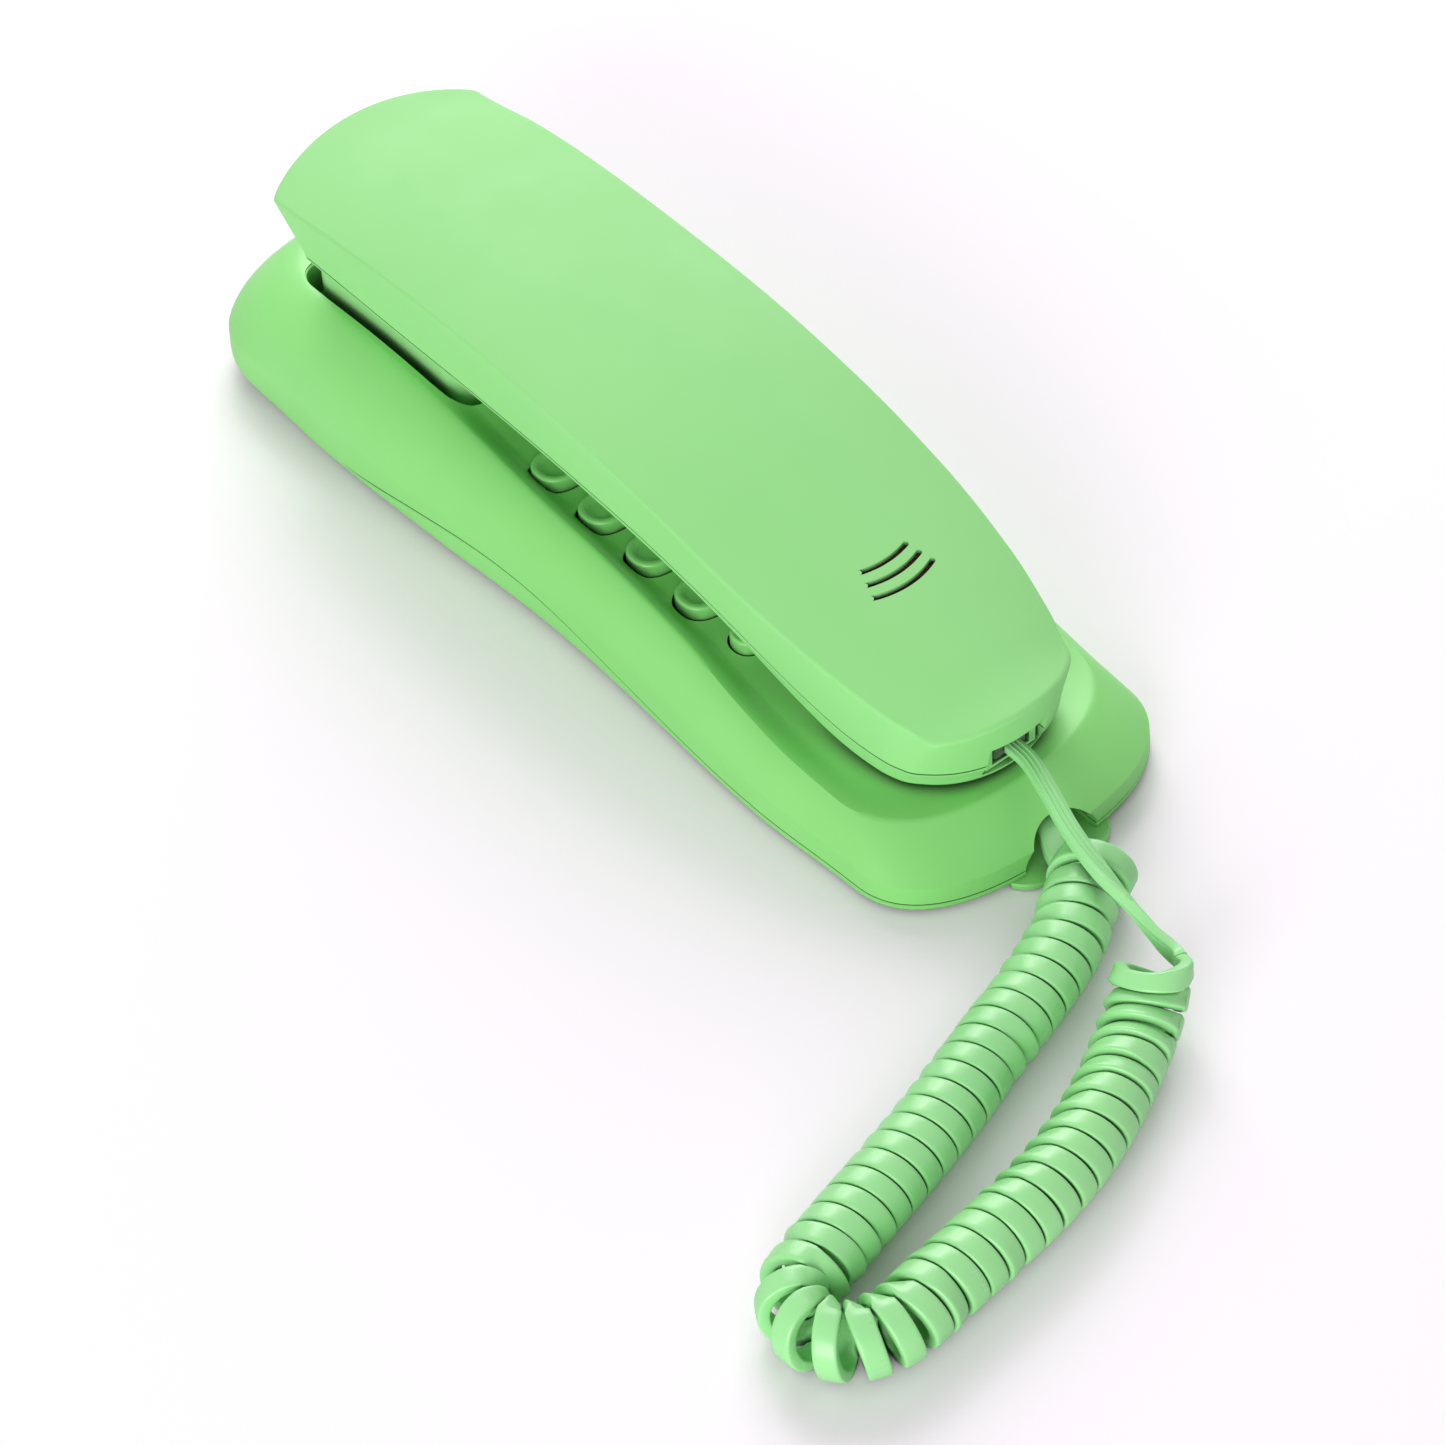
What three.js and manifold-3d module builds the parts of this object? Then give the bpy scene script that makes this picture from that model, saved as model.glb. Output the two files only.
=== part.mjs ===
// A slimline wall telephone: a long, waisted base with a keypad in its tray, an arched
// handset that lies over it, and a curly cord between the two.
// Millimetres. X is the width, +Y the earpiece end, +Z out of the wall. The back lies on z = 0.
import * as THREE from 'three';
import { mergeVertices } from 'three/addons/utils/BufferGeometryUtils.js';
import Module from 'manifold-3d';

const wasm = await Module();
wasm.setup();

// ---------------------------------------------------------------- driving dimensions

const GAP = 0.3;                 // running and seating clearance between separate pieces
const SEAM = 0.3;                // open line between two shells

// base housing
const BASE_LOW_Y = -99.4;        // cord end
const BASE_TOP_Y = 103;          // earpiece end
const BASE_WALL = 2.2;           // shell wall
const BASE_REACH_Z = 40;         // above the whole base
const BASE_FOOT_ROUND = 2;       // round along the back edge
const BASE_DRAFT = 0.2;          // the wall leans in this much towards its top
const BASE_HALF = [[-84, 31], [-58, 32.1], [-20, 30.6], [2, 30.5], [32, 32.4], [60, 33.3], [82, 32.6]];
const EDGE_Z = [[-100, 6], [-60, 7], [0, 9.5], [60, 10.5], [103, 10]];       // top of the upright wall
const RIDGE_HALF = [
  [-84, 26.6], [-72, 26.8], [-60, 27], [-46, 26], [-31, 24.2], [-8, 22.8], [12, 22.4], [46, 20.8], [88, 20.4],
];
const RIDGE_Z = [
  [-92, 12.2], [-76, 12.4], [-61, 13.6], [-46, 15.2], [-30, 17], [0, 19.2], [30, 21.2], [60, 22.6],
  [94, 21.6],
];
const RIDGE_LOW_Y = BASE_LOW_Y + 9.6;  // where the ridge round the tray ends
const RIDGE_TOP_Y = BASE_TOP_Y - 10;
const TRAY_DEPTH = [
  [-90, 0.4], [-72, 0.6], [-56, 1.6], [-42, 2.8], [-20, 3.4], [26, 3.2], [42, 1.2], [70, 0.4],
];
const TRAY_BANK = 5.5;           // width of the bank from the ridge to the tray floor
// the slope from the wall's top to the ridge: 0 is a round shoulder, 1 a straight bevel
const SLOPE_STRAIGHTNESS = [[-100, 0.9], [-80, 0.8], [-50, 0.45], [0, 0.35], [103, 0.35]];
const PART_LOW_Z = 2.4;          // parting line of the two base shells, at the ends
const PART_RISE = 5.6;           // its arch in the middle
const PART_CENTRE_Y = 16;
const PART_REACH = 34;

// earpiece well in the base
const WELL_HALF_X = 18.6;
const WELL_LOW_Y = 36.5;
const WELL_TOP_Y = 88;
const WELL_CORNER = 5;
const WELL_FLOOR_Z = 13.5;
const WELL_WALL = 1.8;

// handset
const HS_CREASE_HALF = [
  [-84, 16], [-76, 18.4], [-64, 21], [-45, 23.1], [-8, 23.9], [28, 23.8], [64, 23.8], [84, 23.1],
];
const HS_CREASE_Z = [
  [-91, 25.6], [-84, 26.4], [-76, 28.6], [-64, 32.2], [-45, 37.1], [-27, 41.2], [-8, 44.2], [8, 45.8],
  [28, 46.8], [48, 46.8], [64, 45.8], [84, 43.6],
];
const HS_CREASE_LOW_Y = -90.4;
const HS_CREASE_TOP_Y = 89.6;
const HS_CROWN = 3.0;            // the back rises this much between its two creases
const HS_CREASE_ROUND = 0.7;
const HS_SEAM_HALF = [[-84, 16.2], [-76, 18.3], [-60, 20], [-40, 21], [0, 21.7], [40, 21.4], [84, 20.4]];
const HS_SEAM_RISE = [[-90, 5.2], [-40, 4.8], [0, 4.4], [84, 4.4]];           // seam above the underside
const HS_SEAM_LOW_Y = -88.8;
const HS_SEAM_TOP_Y = 86.6;
const HS_UNDER_HALF = [[-82, 16], [-74, 18], [-60, 19.4], [-30, 20], [0, 20.4], [40, 19.9], [84, 18.8]];
const HS_UNDER_Z = [
  [-92, 12.3], [-74, 12.5], [-66, 13.4], [-56, 15.8], [-38, 20.8], [-18, 24.8], [4, 27], [30, 27.6],
  [84, 26.4],
];
const HS_UNDER_LOW_Y = -87.4;
const HS_UNDER_TOP_Y = 85;
const HS_UNDER_ROUND = 2.4;
const HS_WALL = 2.0;
const HS_REACH_Z = 60;           // above the whole handset

// earpiece and mouthpiece
const EAR_Y = 62;
const EAR_HALF_X = 16.2;
const EAR_HALF_Y = 20.9;
const EAR_CORNER = 7;
const EAR_WALL = 1.8;
const EAR_SEAT_GAP = 0.6;        // earpiece boss above the well floor
const RECEIVER_R = 12.2;
const RECEIVER_H = 7.5;
const RECEIVER_STEP = 2.4;       // its back is narrower by this
const EAR_HOLE_R = 0.9;
const EAR_HOLE_RING = 5;
const EAR_HOLES = 6;
const MIC_R = 4.8;
const MIC_H = 4.2;
const MIC_BOOT_WALL = 1.4;
const MIC_BOOT_BORE_R = 2;
const MIC_SLOT_LENGTH = 5;
const MIC_SLOT_WIDTH = 1.1;
const MIC_SLOTS = 3;
const MIC_SLOT_PITCH = 2.6;
const BALLAST = [22, 44, 5];
const BALLAST_Y = 22;

// vents in the back of the handset
const VENT_Y = [-55.9, -58.6, -61.3];
const VENT_HALF = [5.2, 6.0, 6.8];
const VENT_WIDTH = 1.0;
const VENT_SKIN = 0.9;           // the wall is thinned to this behind the vents
const VENT_RADIUS = 17;
const VENT_CLOTH_HALF_X = 9;
const VENT_CLOTH_THICK = 0.7;
const VENT_CLOTH_MARGIN = 2.5;
const VENT_POCKET_Z = 28;        // below the handset's wall at the vents

// keypad
const KEY_ROWS = 4;
const KEY_COLUMNS = 3;
const KEY_PITCH_X = 13;
const KEY_PITCH_Y = 13.1;
const KEY_TOP_ROW_Y = 15.6;
const KEY_HALF_X = 5.5;
const KEY_HALF_Y = 4.4;
const FUNCTION_KEY_SCALE = 0.72;
const FUNCTION_ROW_DROP = 12.3;   // centre of the small row below the last full row
const KEY_STAND = 2.0;           // rim above the tray
const KEY_DISH = 0.8;
const KEY_FLANGE = 0.9;
const KEY_FLANGE_THICK = 0.9;
const KEY_STEM = 1.4;
const KEY_CLEARANCE = 0.35;
const KEY_TRAVEL = 1.2;
const KEY_SIDES = 12;

// circuit board and rubber mat
const STANDOFF_H = 1.3;
const STANDOFF_R = 2.4;
const STANDOFF_IN = 4;           // from the board's long edge
const BOARD_HOLE_R = 1.6;
const BOARD_THICK = 1.6;
const BOARD_HALF_X = 21;
const BOARD_LOW_Y = -56;
const BOARD_TOP_Y = 58;
const MAT_THICK = 1.2;
const MAT_HALF_X = 19.5;
const MAT_MARGIN_Y = 8;
const DOME_R = 2.6;
const DOME_TOP_R = 1.7;

// hook switch
const HOOK_Y = 51.5;
const HOOK_HALF = 2.6;
const HOOK_TRAVEL = 2.5;
const HOOK_FLANGE = 1.2;
const HOOK_FLANGE_THICK = 1.1;
const HOOK_SWITCH = [9, 7];

// sounder and ringer switch
const SOUNDER_R = 12.6;
const SOUNDER_H = 6;
const SOUNDER_Y = 72;
const SOUNDER_SLOTS = 5;
const SOUNDER_SLOT_WIDTH = 1.4;
const SOUNDER_SLOT_PITCH = 3.4;
const SOUNDER_SLOT_MARGIN = 4;   // the slots stay this far inside the sounder's edge
const RINGER_X = 21;
const RINGER_Z = 6.4;
const RINGER_SLOT = [8.4, 3.0];
const RINGER_KNOB = [3.0, 2.2];
const RINGER_BODY = [7.8, 5];
const RINGER_BODY_OVER = 1;      // past the slot
const RINGER_SET_BACK = 8.4;     // the body's face behind the bowed end wall's middle
const RINGER_TIP_BACK = 1.7;     // and the knob's tip

// jacks, plugs
const PLUG = [7.65, 11.7, 5.0];
const PLUG_WAYS = 4;
const PLUG_STEP = 2.4;           // length of the lower step at the cord's side
const CONTACT_PITCH = 1.27;
const CONTACT_WIDTH = 0.6;
const CONTACT_LENGTH = 3.4;
const CONTACT_DEPTH = 1.6;
const JACK_WALL = 1.4;
const JACK_ROOF = 0.6;
const BASE_JACK_SET_BACK = 12;   // from the base's cord end to the jack's mouth
const BASE_JACK_MOUTH_Y = BASE_LOW_Y + BASE_JACK_SET_BACK;
const HS_JACK_SET_BACK = 0.9;    // the same from the end of the handset's underside
const HS_JACK_MOUTH_Y = HS_UNDER_LOW_Y + HS_JACK_SET_BACK;
const JACK_LENGTH = PLUG[1] + GAP + JACK_WALL;
const MIC_FROM_JACK = 9.1;       // from the jack's closed end to the middle of the microphone
const MIC_Y = HS_JACK_MOUTH_Y + JACK_LENGTH + MIC_FROM_JACK;
const HS_PORT_HALF = 6.4;
const HS_POCKET_DEPTH = 7.5;     // the jack's seat behind the port
const NOTCH_HALF = 8;
const NOTCH_TOP_Z = 8.2;
const NOTCH_INTO = 2;            // the arch reaches this far over the jack
const NOTCH_LENGTH = 20;         // and runs out past the end wall
const LIP_REACH = 3;
const LIP_HALF = 11;
const LIP_THICK = 1.3;
const LINE_JACK = [13.2, 13, 8.4];
const LINE_SOCKET = [9.9, 10.5, 6.7];
const LINE_X = -13.3;
const LINE_SET_BACK = 4.0;       // jack face behind the bowed end wall
const PORT_DEPTH = 12;           // depth of the holes through that wall
const PORT_CLEARANCE = 0.2;

// screws and wall keyholes
const SCREW_R = 1.35;
const SCREW_HEAD_R = 2.7;
const SCREW_HEAD_H = 1.6;
const SCREW_L = 8;
const SCREW_SINK = 0.5;
const BOSS_R = 3.1;
const HEAD_BOSS_WALL = 1.2;       // round a sunk screw head
const BOSS_FOOT_Z = 4.6;
const BASE_SCREWS = [[-22, -74], [22, -74], [-24.5, 70], [24.5, 70]];
const HS_SCREW_Y = [34, -46];
const HS_SCREW_L = 7;
const HS_BOSS_RISE = 1.6;        // the screw head's boss above the inner face of the wall
const KEYHOLE_Y = [-68, 92];
const KEYHOLE_HEAD_R = 4.2;
const KEYHOLE_SLOT_R = 2.1;
const KEYHOLE_RISE = 6;

// cord
const CORD_WIDTH = 3.8;          // the flat cord's width
const CORD_THICK = 2.2;
const COIL_R = 5.3;              // to the middle of the cord
const COIL_PITCH = 4.25;
const COIL_BEND_GAP = 0.3;       // clear space kept on the inside of a bend
const COIL_BEND_DRAW = 0.4;      // a curl is pressed flat by up to this share on the inside of a bend
const COIL_TIGHT_BEND = 0.12;    // bend of the route, per millimetre, from which it is pressed that far
const COIL_BEND_SPAN = 10;       // fine steps to each side that a bend is measured over
const COIL_STEPS = 8;
const COIL_SIDES = 5;
const COIL_FLOOR_GAP = 0.1;
const COIL_FIRST_PHASE = 4.3;    // how far past its top the first curl starts, in radians
const COIL_LAST_PHASE = 3.7;     // and the last one ends
const LEAD_SIDES = 8;
const LEAD_STEP = 5;             // length of one step along a free stretch

// ---------------------------------------------------------------- profiles

/** Smooth value between stations [position, value], level beyond the first and last. */
function along(stations, y) {
  const first = stations[0];
  const last = stations[stations.length - 1];
  if (y <= first[0]) return first[1];
  if (y >= last[0]) return last[1];
  const i = stations.findIndex((s) => s[0] > y) - 1;
  const slope = (k) => {
    if (k <= 0 || k >= stations.length - 1) return 0;
    return (stations[k + 1][1] - stations[k - 1][1]) / (stations[k + 1][0] - stations[k - 1][0]);
  };
  const [y0, v0] = stations[i];
  const [y1, v1] = stations[i + 1];
  const span = y1 - y0;
  const t = (y - y0) / span;
  const t2 = t * t;
  const t3 = t2 * t;
  return (2 * t3 - 3 * t2 + 1) * v0 + (t3 - 2 * t2 + t) * span * slope(i)
    + (3 * t2 - 2 * t3) * v1 + (t3 - t2) * span * slope(i + 1);
}

const partingZ = (y) => PART_LOW_Z + PART_RISE * Math.exp(-(((y - PART_CENTRE_Y) / PART_REACH) ** 2));
const trayZ = (y) => along(RIDGE_Z, y) - along(TRAY_DEPTH, y);
const underZ = (y) => along(HS_UNDER_Z, y);
const seamZ = (y) => underZ(y) + along(HS_SEAM_RISE, y);

/**
 * One closed plan outline of a long body, as a ring of points. Its sides follow half(y); each end
 * is a rounded corner of the given depth plus a shallow bow. A scale of 0 folds it on its middle line.
 * z(y, share) is given how far out the point lies, from 0 in the middle to 1 at the side.
 */
function planRing({ low, top, half, z, scale = 1, lowEnd, topEnd }) {
  const SIDE_STEPS = 10;
  const CAP_STEPS = 5;
  const right = [];
  const lowCorner = low + lowEnd.bow + lowEnd.depth;
  const topCorner = top - topEnd.bow - topEnd.depth;
  const cap = (end, from, direction, step) => {
    const angle = (Math.PI / 2) * (step / CAP_STEPS);
    const x = Math.cos(angle) ** (2 / end.power);
    const reach = end.depth * Math.sin(angle) ** (2 / end.power) + end.bow * (1 - x * x);
    const y = from + direction * reach;
    return [half(y) * x, y];
  };
  for (let i = CAP_STEPS; i > 0; i -= 1) right.push(cap(lowEnd, lowCorner, -1, i));
  for (let i = 0; i <= SIDE_STEPS; i += 1) {
    const y = lowCorner + (topCorner - lowCorner) * (i / SIDE_STEPS);
    right.push([half(y), y]);
  }
  for (let i = 1; i <= CAP_STEPS; i += 1) right.push(cap(topEnd, topCorner, 1, i));
  const point = ([x, y], side) => new THREE.Vector3(side * x * scale, y, z(y, (x * scale) / half(y)));
  const left = right.slice(1, -1).reverse();
  right[0][0] = 0;
  right[right.length - 1][0] = 0;
  return [...right.map((p) => point(p, 1)), ...left.map((p) => point(p, -1))];
}

// ---------------------------------------------------------------- solids

/** Turns loose triangles into a closed solid. */
function toSolid(geometry) {
  const plain = geometry.index ? geometry.toNonIndexed() : geometry;
  plain.deleteAttribute('normal');
  plain.deleteAttribute('uv');
  const merged = mergeVertices(plain, 1e-4);
  const source = merged.index.array;
  const triangles = [];
  for (let i = 0; i < source.length; i += 3) {
    const [a, b, c] = [source[i], source[i + 1], source[i + 2]];
    if (a !== b && b !== c && c !== a) triangles.push(a, b, c);
  }
  return new wasm.Manifold(new wasm.Mesh({
    numProp: 3,
    vertProperties: new Float32Array(merged.attributes.position.array),
    triVerts: new Uint32Array(triangles),
  }));
}

function toGeometry(solid) {
  const mesh = solid.getMesh();
  const positions = new Float32Array((mesh.vertProperties.length / mesh.numProp) * 3);
  for (let i = 0; i < positions.length / 3; i += 1) {
    for (let k = 0; k < 3; k += 1) positions[3 * i + k] = mesh.vertProperties[mesh.numProp * i + k];
  }
  const geometry = new THREE.BufferGeometry();
  geometry.setAttribute('position', new THREE.BufferAttribute(positions, 3));
  geometry.setIndex(new THREE.BufferAttribute(new Uint32Array(mesh.triVerts), 1));
  geometry.computeVertexNormals();
  return geometry;
}

/** Skins a list of rings of equal count; a single point or a folded ring closes each end. */
function skin(rings) {
  const count = rings[0].length;
  const positions = [];
  const put = (...points) => points.forEach((p) => positions.push(p.x, p.y, p.z));
  for (let k = 0; k + 1 < rings.length; k += 1) {
    for (let i = 0; i < count; i += 1) {
      const j = (i + 1) % count;
      put(rings[k][i], rings[k][j], rings[k + 1][j]);
      put(rings[k][i], rings[k + 1][j], rings[k + 1][i]);
    }
  }
  const geometry = new THREE.BufferGeometry();
  geometry.setAttribute('position', new THREE.Float32BufferAttribute(positions, 3));
  return geometry;
}

function ellipseRing(halfX, halfY, z, sides, power = 2) {
  const ring = [];
  for (let i = 0; i < sides; i += 1) {
    const angle = (2 * Math.PI * i) / sides;
    const bend = (value) => Math.sign(value) * Math.abs(value) ** (2 / power);
    ring.push(new THREE.Vector3(halfX * bend(Math.cos(angle)), halfY * bend(Math.sin(angle)), z));
  }
  return ring;
}

function ovalSolid(levels, sides, power) {
  const rings = levels.map(([halfX, halfY, z]) => ellipseRing(halfX, halfY, z, sides, power));
  const centre = (z) => Array.from({ length: sides }, () => new THREE.Vector3(0, 0, z));
  return toSolid(skin([centre(levels[0][2]), ...rings, centre(levels[levels.length - 1][2])]));
}

function box(x0, x1, y0, y1, z0, z1) {
  const geometry = new THREE.BoxGeometry(x1 - x0, y1 - y0, z1 - z0);
  geometry.translate((x0 + x1) / 2, (y0 + y1) / 2, (z0 + z1) / 2);
  return toSolid(geometry);
}

function cylinder(radius, x, y, z0, z1, sides = 20) {
  const geometry = new THREE.CylinderGeometry(radius, radius, z1 - z0, sides);
  geometry.rotateX(Math.PI / 2);
  geometry.translate(x, y, (z0 + z1) / 2);
  return toSolid(geometry);
}

function roundedPath(halfX, y0, y1, corner) {
  const shape = new THREE.Shape();
  shape.moveTo(-halfX + corner, y0);
  shape.lineTo(halfX - corner, y0);
  shape.absarc(halfX - corner, y0 + corner, corner, -Math.PI / 2, 0);
  shape.lineTo(halfX, y1 - corner);
  shape.absarc(halfX - corner, y1 - corner, corner, 0, Math.PI / 2);
  shape.lineTo(-halfX + corner, y1);
  shape.absarc(-halfX + corner, y1 - corner, corner, Math.PI / 2, Math.PI);
  shape.lineTo(-halfX, y0 + corner);
  shape.absarc(-halfX + corner, y0 + corner, corner, Math.PI, 1.5 * Math.PI);
  return shape;
}

function prism(shape, z0, z1, curveSegments = 6) {
  const geometry = new THREE.ExtrudeGeometry(shape, { depth: z1 - z0, bevelEnabled: false, curveSegments });
  geometry.translate(0, 0, z0);
  return toSolid(geometry);
}

/** A block whose upper face follows z = height(y); it reaches down past everything. */
function under(height) {
  const REACH = 115;
  const STEPS = 26;
  const shape = new THREE.Shape();
  shape.moveTo(-REACH, -REACH);
  shape.lineTo(REACH, -REACH);
  for (let i = STEPS; i >= 0; i -= 1) {
    const y = -REACH + (2 * REACH * i) / STEPS;
    shape.lineTo(y, height(y));
  }
  const geometry = new THREE.ExtrudeGeometry(shape, { depth: 2 * REACH, bevelEnabled: false });
  // profile (y, z) extruded along X
  geometry.applyMatrix4(new THREE.Matrix4().set(0, 0, 1, -REACH, 1, 0, 0, 0, 0, 1, 0, 0, 0, 0, 0, 1));
  return toSolid(geometry);
}

// ---------------------------------------------------------------- base housing

const BASE_LOW_END = { depth: 16.5, bow: 1.5, power: 2.6 };
const BASE_TOP_END = { depth: 22, bow: 1.5, power: 3.3 };

/** Share of the way from a round shoulder to a straight bevel, at t along the slope. */
function sloped(y, t, round) {
  return round + (t - round) * along(SLOPE_STRAIGHTNESS, y);
}

/** The base as one body, drawn in by inset on every side. */
function baseBody(inset) {
  // one outline: toRidge(y) is 0 at the wall and 1 at the ridge
  const ring = (toRidge, drawn, z, scale) => planRing({
    low: BASE_LOW_Y + (RIDGE_LOW_Y - BASE_LOW_Y) * toRidge(BASE_LOW_Y) + drawn,
    top: BASE_TOP_Y + (RIDGE_TOP_Y - BASE_TOP_Y) * toRidge(BASE_TOP_Y) - drawn,
    half: (y) => {
      const outer = along(BASE_HALF, y);
      return outer - (outer - along(RIDGE_HALF, y)) * toRidge(y) - drawn;
    },
    z,
    scale,
    lowEnd: BASE_LOW_END,
    topEnd: BASE_TOP_END,
  });
  const atWall = () => 0;
  const atRidge = () => 1;
  const foot = inset > 0 ? 0 : BASE_FOOT_ROUND;
  const rings = [ring(atWall, inset + foot, () => inset, 0), ring(atWall, inset + foot, () => inset)];
  if (foot > 0) rings.push(ring(atWall, foot * 0.3, () => foot * 0.3));
  rings.push(ring(atWall, inset, () => inset + foot + 0.01));
  rings.push(ring(atWall, inset + BASE_DRAFT, (y) => along(EDGE_Z, y)));
  const shoulder = (t) => {
    const angle = (Math.PI / 2) * t;
    rings.push(ring(
      (y) => sloped(y, t, 1 - Math.cos(angle)),
      BASE_DRAFT + inset * Math.cos(angle),
      (y) => {
        const edge = along(EDGE_Z, y);
        return edge + (along(RIDGE_Z, y) - edge) * sloped(y, t, Math.sin(angle)) - inset * Math.sin(angle);
      },
    ));
  };
  if (inset === 0) {
    [0.14, 0.32, 0.52, 0.74, 1].forEach(shoulder);
    [[0.2, 0.08], [0.6, 0.62], [1, 1]].forEach(([share, drop]) => rings.push(ring(
      atRidge,
      BASE_DRAFT + TRAY_BANK * share,
      (y) => along(RIDGE_Z, y) - along(TRAY_DEPTH, y) * drop,
    )));
  } else {
    [0.14, 0.36, 0.55].forEach(shoulder);
    rings.push(ring(() => 0.9, inset, (y) => trayZ(y) - inset));
  }
  const cap = (inset === 0 ? BASE_DRAFT : inset) + TRAY_BANK;
  rings.push(ring(atRidge, cap, (y) => trayZ(y) - inset, 0));
  return toSolid(skin(rings));
}

const keyPlaces = () => {
  const places = [];
  for (let row = 0; row <= KEY_ROWS; row += 1) {
    const small = row === KEY_ROWS;
    for (let column = 0; column < KEY_COLUMNS; column += 1) {
      places.push({
        row,
        column,
        scale: small ? FUNCTION_KEY_SCALE : 1,
        x: (column - (KEY_COLUMNS - 1) / 2) * KEY_PITCH_X,
        y: KEY_TOP_ROW_Y - (small ? (KEY_ROWS - 1) * KEY_PITCH_Y + FUNCTION_ROW_DROP : row * KEY_PITCH_Y),
      });
    }
  }
  return places;
};

const KEYS = keyPlaces();
const LAST_ROW_Y = KEYS[KEYS.length - 1].y;
const BOARD_Z = BASE_WALL + STANDOFF_H + GAP;
const BOARD_TOP_Z = BOARD_Z + BOARD_THICK;
const MAT_TOP_Z = BOARD_TOP_Z + GAP + MAT_THICK;

/** Upper and lower face of the tray's plate at a key: the lowest and highest over its length. */
const plateTop = (key) => Math.max(trayZ(key.y - KEY_HALF_Y), trayZ(key.y + KEY_HALF_Y));
const plateUnder = (key) => Math.min(trayZ(key.y - KEY_HALF_Y), trayZ(key.y + KEY_HALF_Y)) - BASE_WALL;

function notchCutter() {
  const shape = new THREE.Shape();
  const foot = LIP_THICK;
  shape.moveTo(-NOTCH_HALF, foot);
  shape.lineTo(NOTCH_HALF, foot);
  shape.lineTo(NOTCH_HALF, foot + 2);
  shape.quadraticCurveTo(NOTCH_HALF * 0.75, NOTCH_TOP_Z, 0, NOTCH_TOP_Z);
  shape.quadraticCurveTo(-NOTCH_HALF * 0.75, NOTCH_TOP_Z, -NOTCH_HALF, foot + 2);
  const geometry = new THREE.ExtrudeGeometry(shape, {
    depth: NOTCH_LENGTH,
    bevelEnabled: false,
    curveSegments: 5,
  });
  geometry.rotateX(Math.PI / 2);
  geometry.translate(0, BASE_JACK_MOUTH_Y + NOTCH_INTO, 0);
  return toSolid(geometry);
}

/** A hole through the upper end wall of the base, of a given size and round a given middle. */
function topWallPort(x, z, width, height) {
  const half = width / 2;
  return box(x - half, x + half, BASE_TOP_Y - PORT_DEPTH, BASE_TOP_Y + 2, z - height / 2, z + height / 2);
}

const LINE_Z = BASE_WALL + GAP;

function basePorts(solid) {
  const clear = 2 * PORT_CLEARANCE;
  return solid
    .subtract(notchCutter())
    .subtract(topWallPort(LINE_X, LINE_Z + LINE_JACK[2] / 2, LINE_SOCKET[0] + clear, LINE_SOCKET[2] + clear))
    .subtract(topWallPort(RINGER_X, RINGER_Z, ...RINGER_SLOT));
}

/** The earpiece well as a block, grown on its sides, from a floor up past the base. */
function wellBlock(grow, floorZ) {
  const path = roundedPath(WELL_HALF_X + grow, WELL_LOW_Y - grow, WELL_TOP_Y + grow, WELL_CORNER + grow);
  return prism(path, floorZ, BASE_REACH_Z);
}

function baseTopShell() {
  const body = baseBody(0);
  let shell = body.subtract(baseBody(BASE_WALL)).subtract(under((y) => partingZ(y) + SEAM / 2));
  shell = shell.add(wellBlock(WELL_WALL, WELL_FLOOR_Z - BASE_WALL).intersect(body));
  BASE_SCREWS.forEach(([x, y]) => {
    shell = shell.add(cylinder(BOSS_R, x, y, BOSS_FOOT_Z, BASE_REACH_Z, 12).intersect(body));
    shell = shell.subtract(cylinder(SCREW_R + GAP, x, y, 0, screwTopZ() + 1, 10));
  });
  shell = shell.subtract(wellBlock(0, WELL_FLOOR_Z));
  const hookHole = HOOK_HALF + KEY_CLEARANCE;
  shell = shell.subtract(box(-hookHole, hookHole, HOOK_Y - hookHole, HOOK_Y + hookHole, 5, 20));
  KEYS.forEach((key) => {
    const halfX = KEY_HALF_X * key.scale + KEY_CLEARANCE;
    const halfY = KEY_HALF_Y * key.scale + KEY_CLEARANCE;
    const hole = ovalSolid([[halfX, halfY, 5], [halfX, halfY, 30]], KEY_SIDES, 2.3);
    shell = shell.subtract(hole.translate([key.x, key.y, 0]));
  });
  return basePorts(shell);
}

const HEAD_BOSS_R = SCREW_HEAD_R + GAP + HEAD_BOSS_WALL;
const screwTopZ = () => SCREW_SINK + SCREW_HEAD_H + SCREW_L;

function keyholeCutter(y) {
  const shape = new THREE.Shape();
  const neck = Math.asin(KEYHOLE_SLOT_R / KEYHOLE_HEAD_R);
  shape.absarc(0, y, KEYHOLE_HEAD_R, Math.PI / 2 + neck, 2.5 * Math.PI - neck, false);
  shape.lineTo(KEYHOLE_SLOT_R, y + KEYHOLE_RISE);
  shape.absarc(0, y + KEYHOLE_RISE, KEYHOLE_SLOT_R, 0, Math.PI, false);
  return prism(shape, -1, BASE_WALL + 1, 5);
}

function lip() {
  const shape = new THREE.Shape();
  shape.moveTo(-LIP_HALF, BASE_LOW_Y + 8);
  shape.lineTo(-LIP_HALF, BASE_LOW_Y + 0.5);
  shape.quadraticCurveTo(-LIP_HALF * 0.8, BASE_LOW_Y - LIP_REACH, -LIP_HALF * 0.5, BASE_LOW_Y - LIP_REACH);
  shape.lineTo(LIP_HALF * 0.5, BASE_LOW_Y - LIP_REACH);
  shape.quadraticCurveTo(LIP_HALF * 0.8, BASE_LOW_Y - LIP_REACH, LIP_HALF, BASE_LOW_Y + 0.5);
  shape.lineTo(LIP_HALF, BASE_LOW_Y + 8);
  return prism(shape, 0, LIP_THICK, 4);
}

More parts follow.
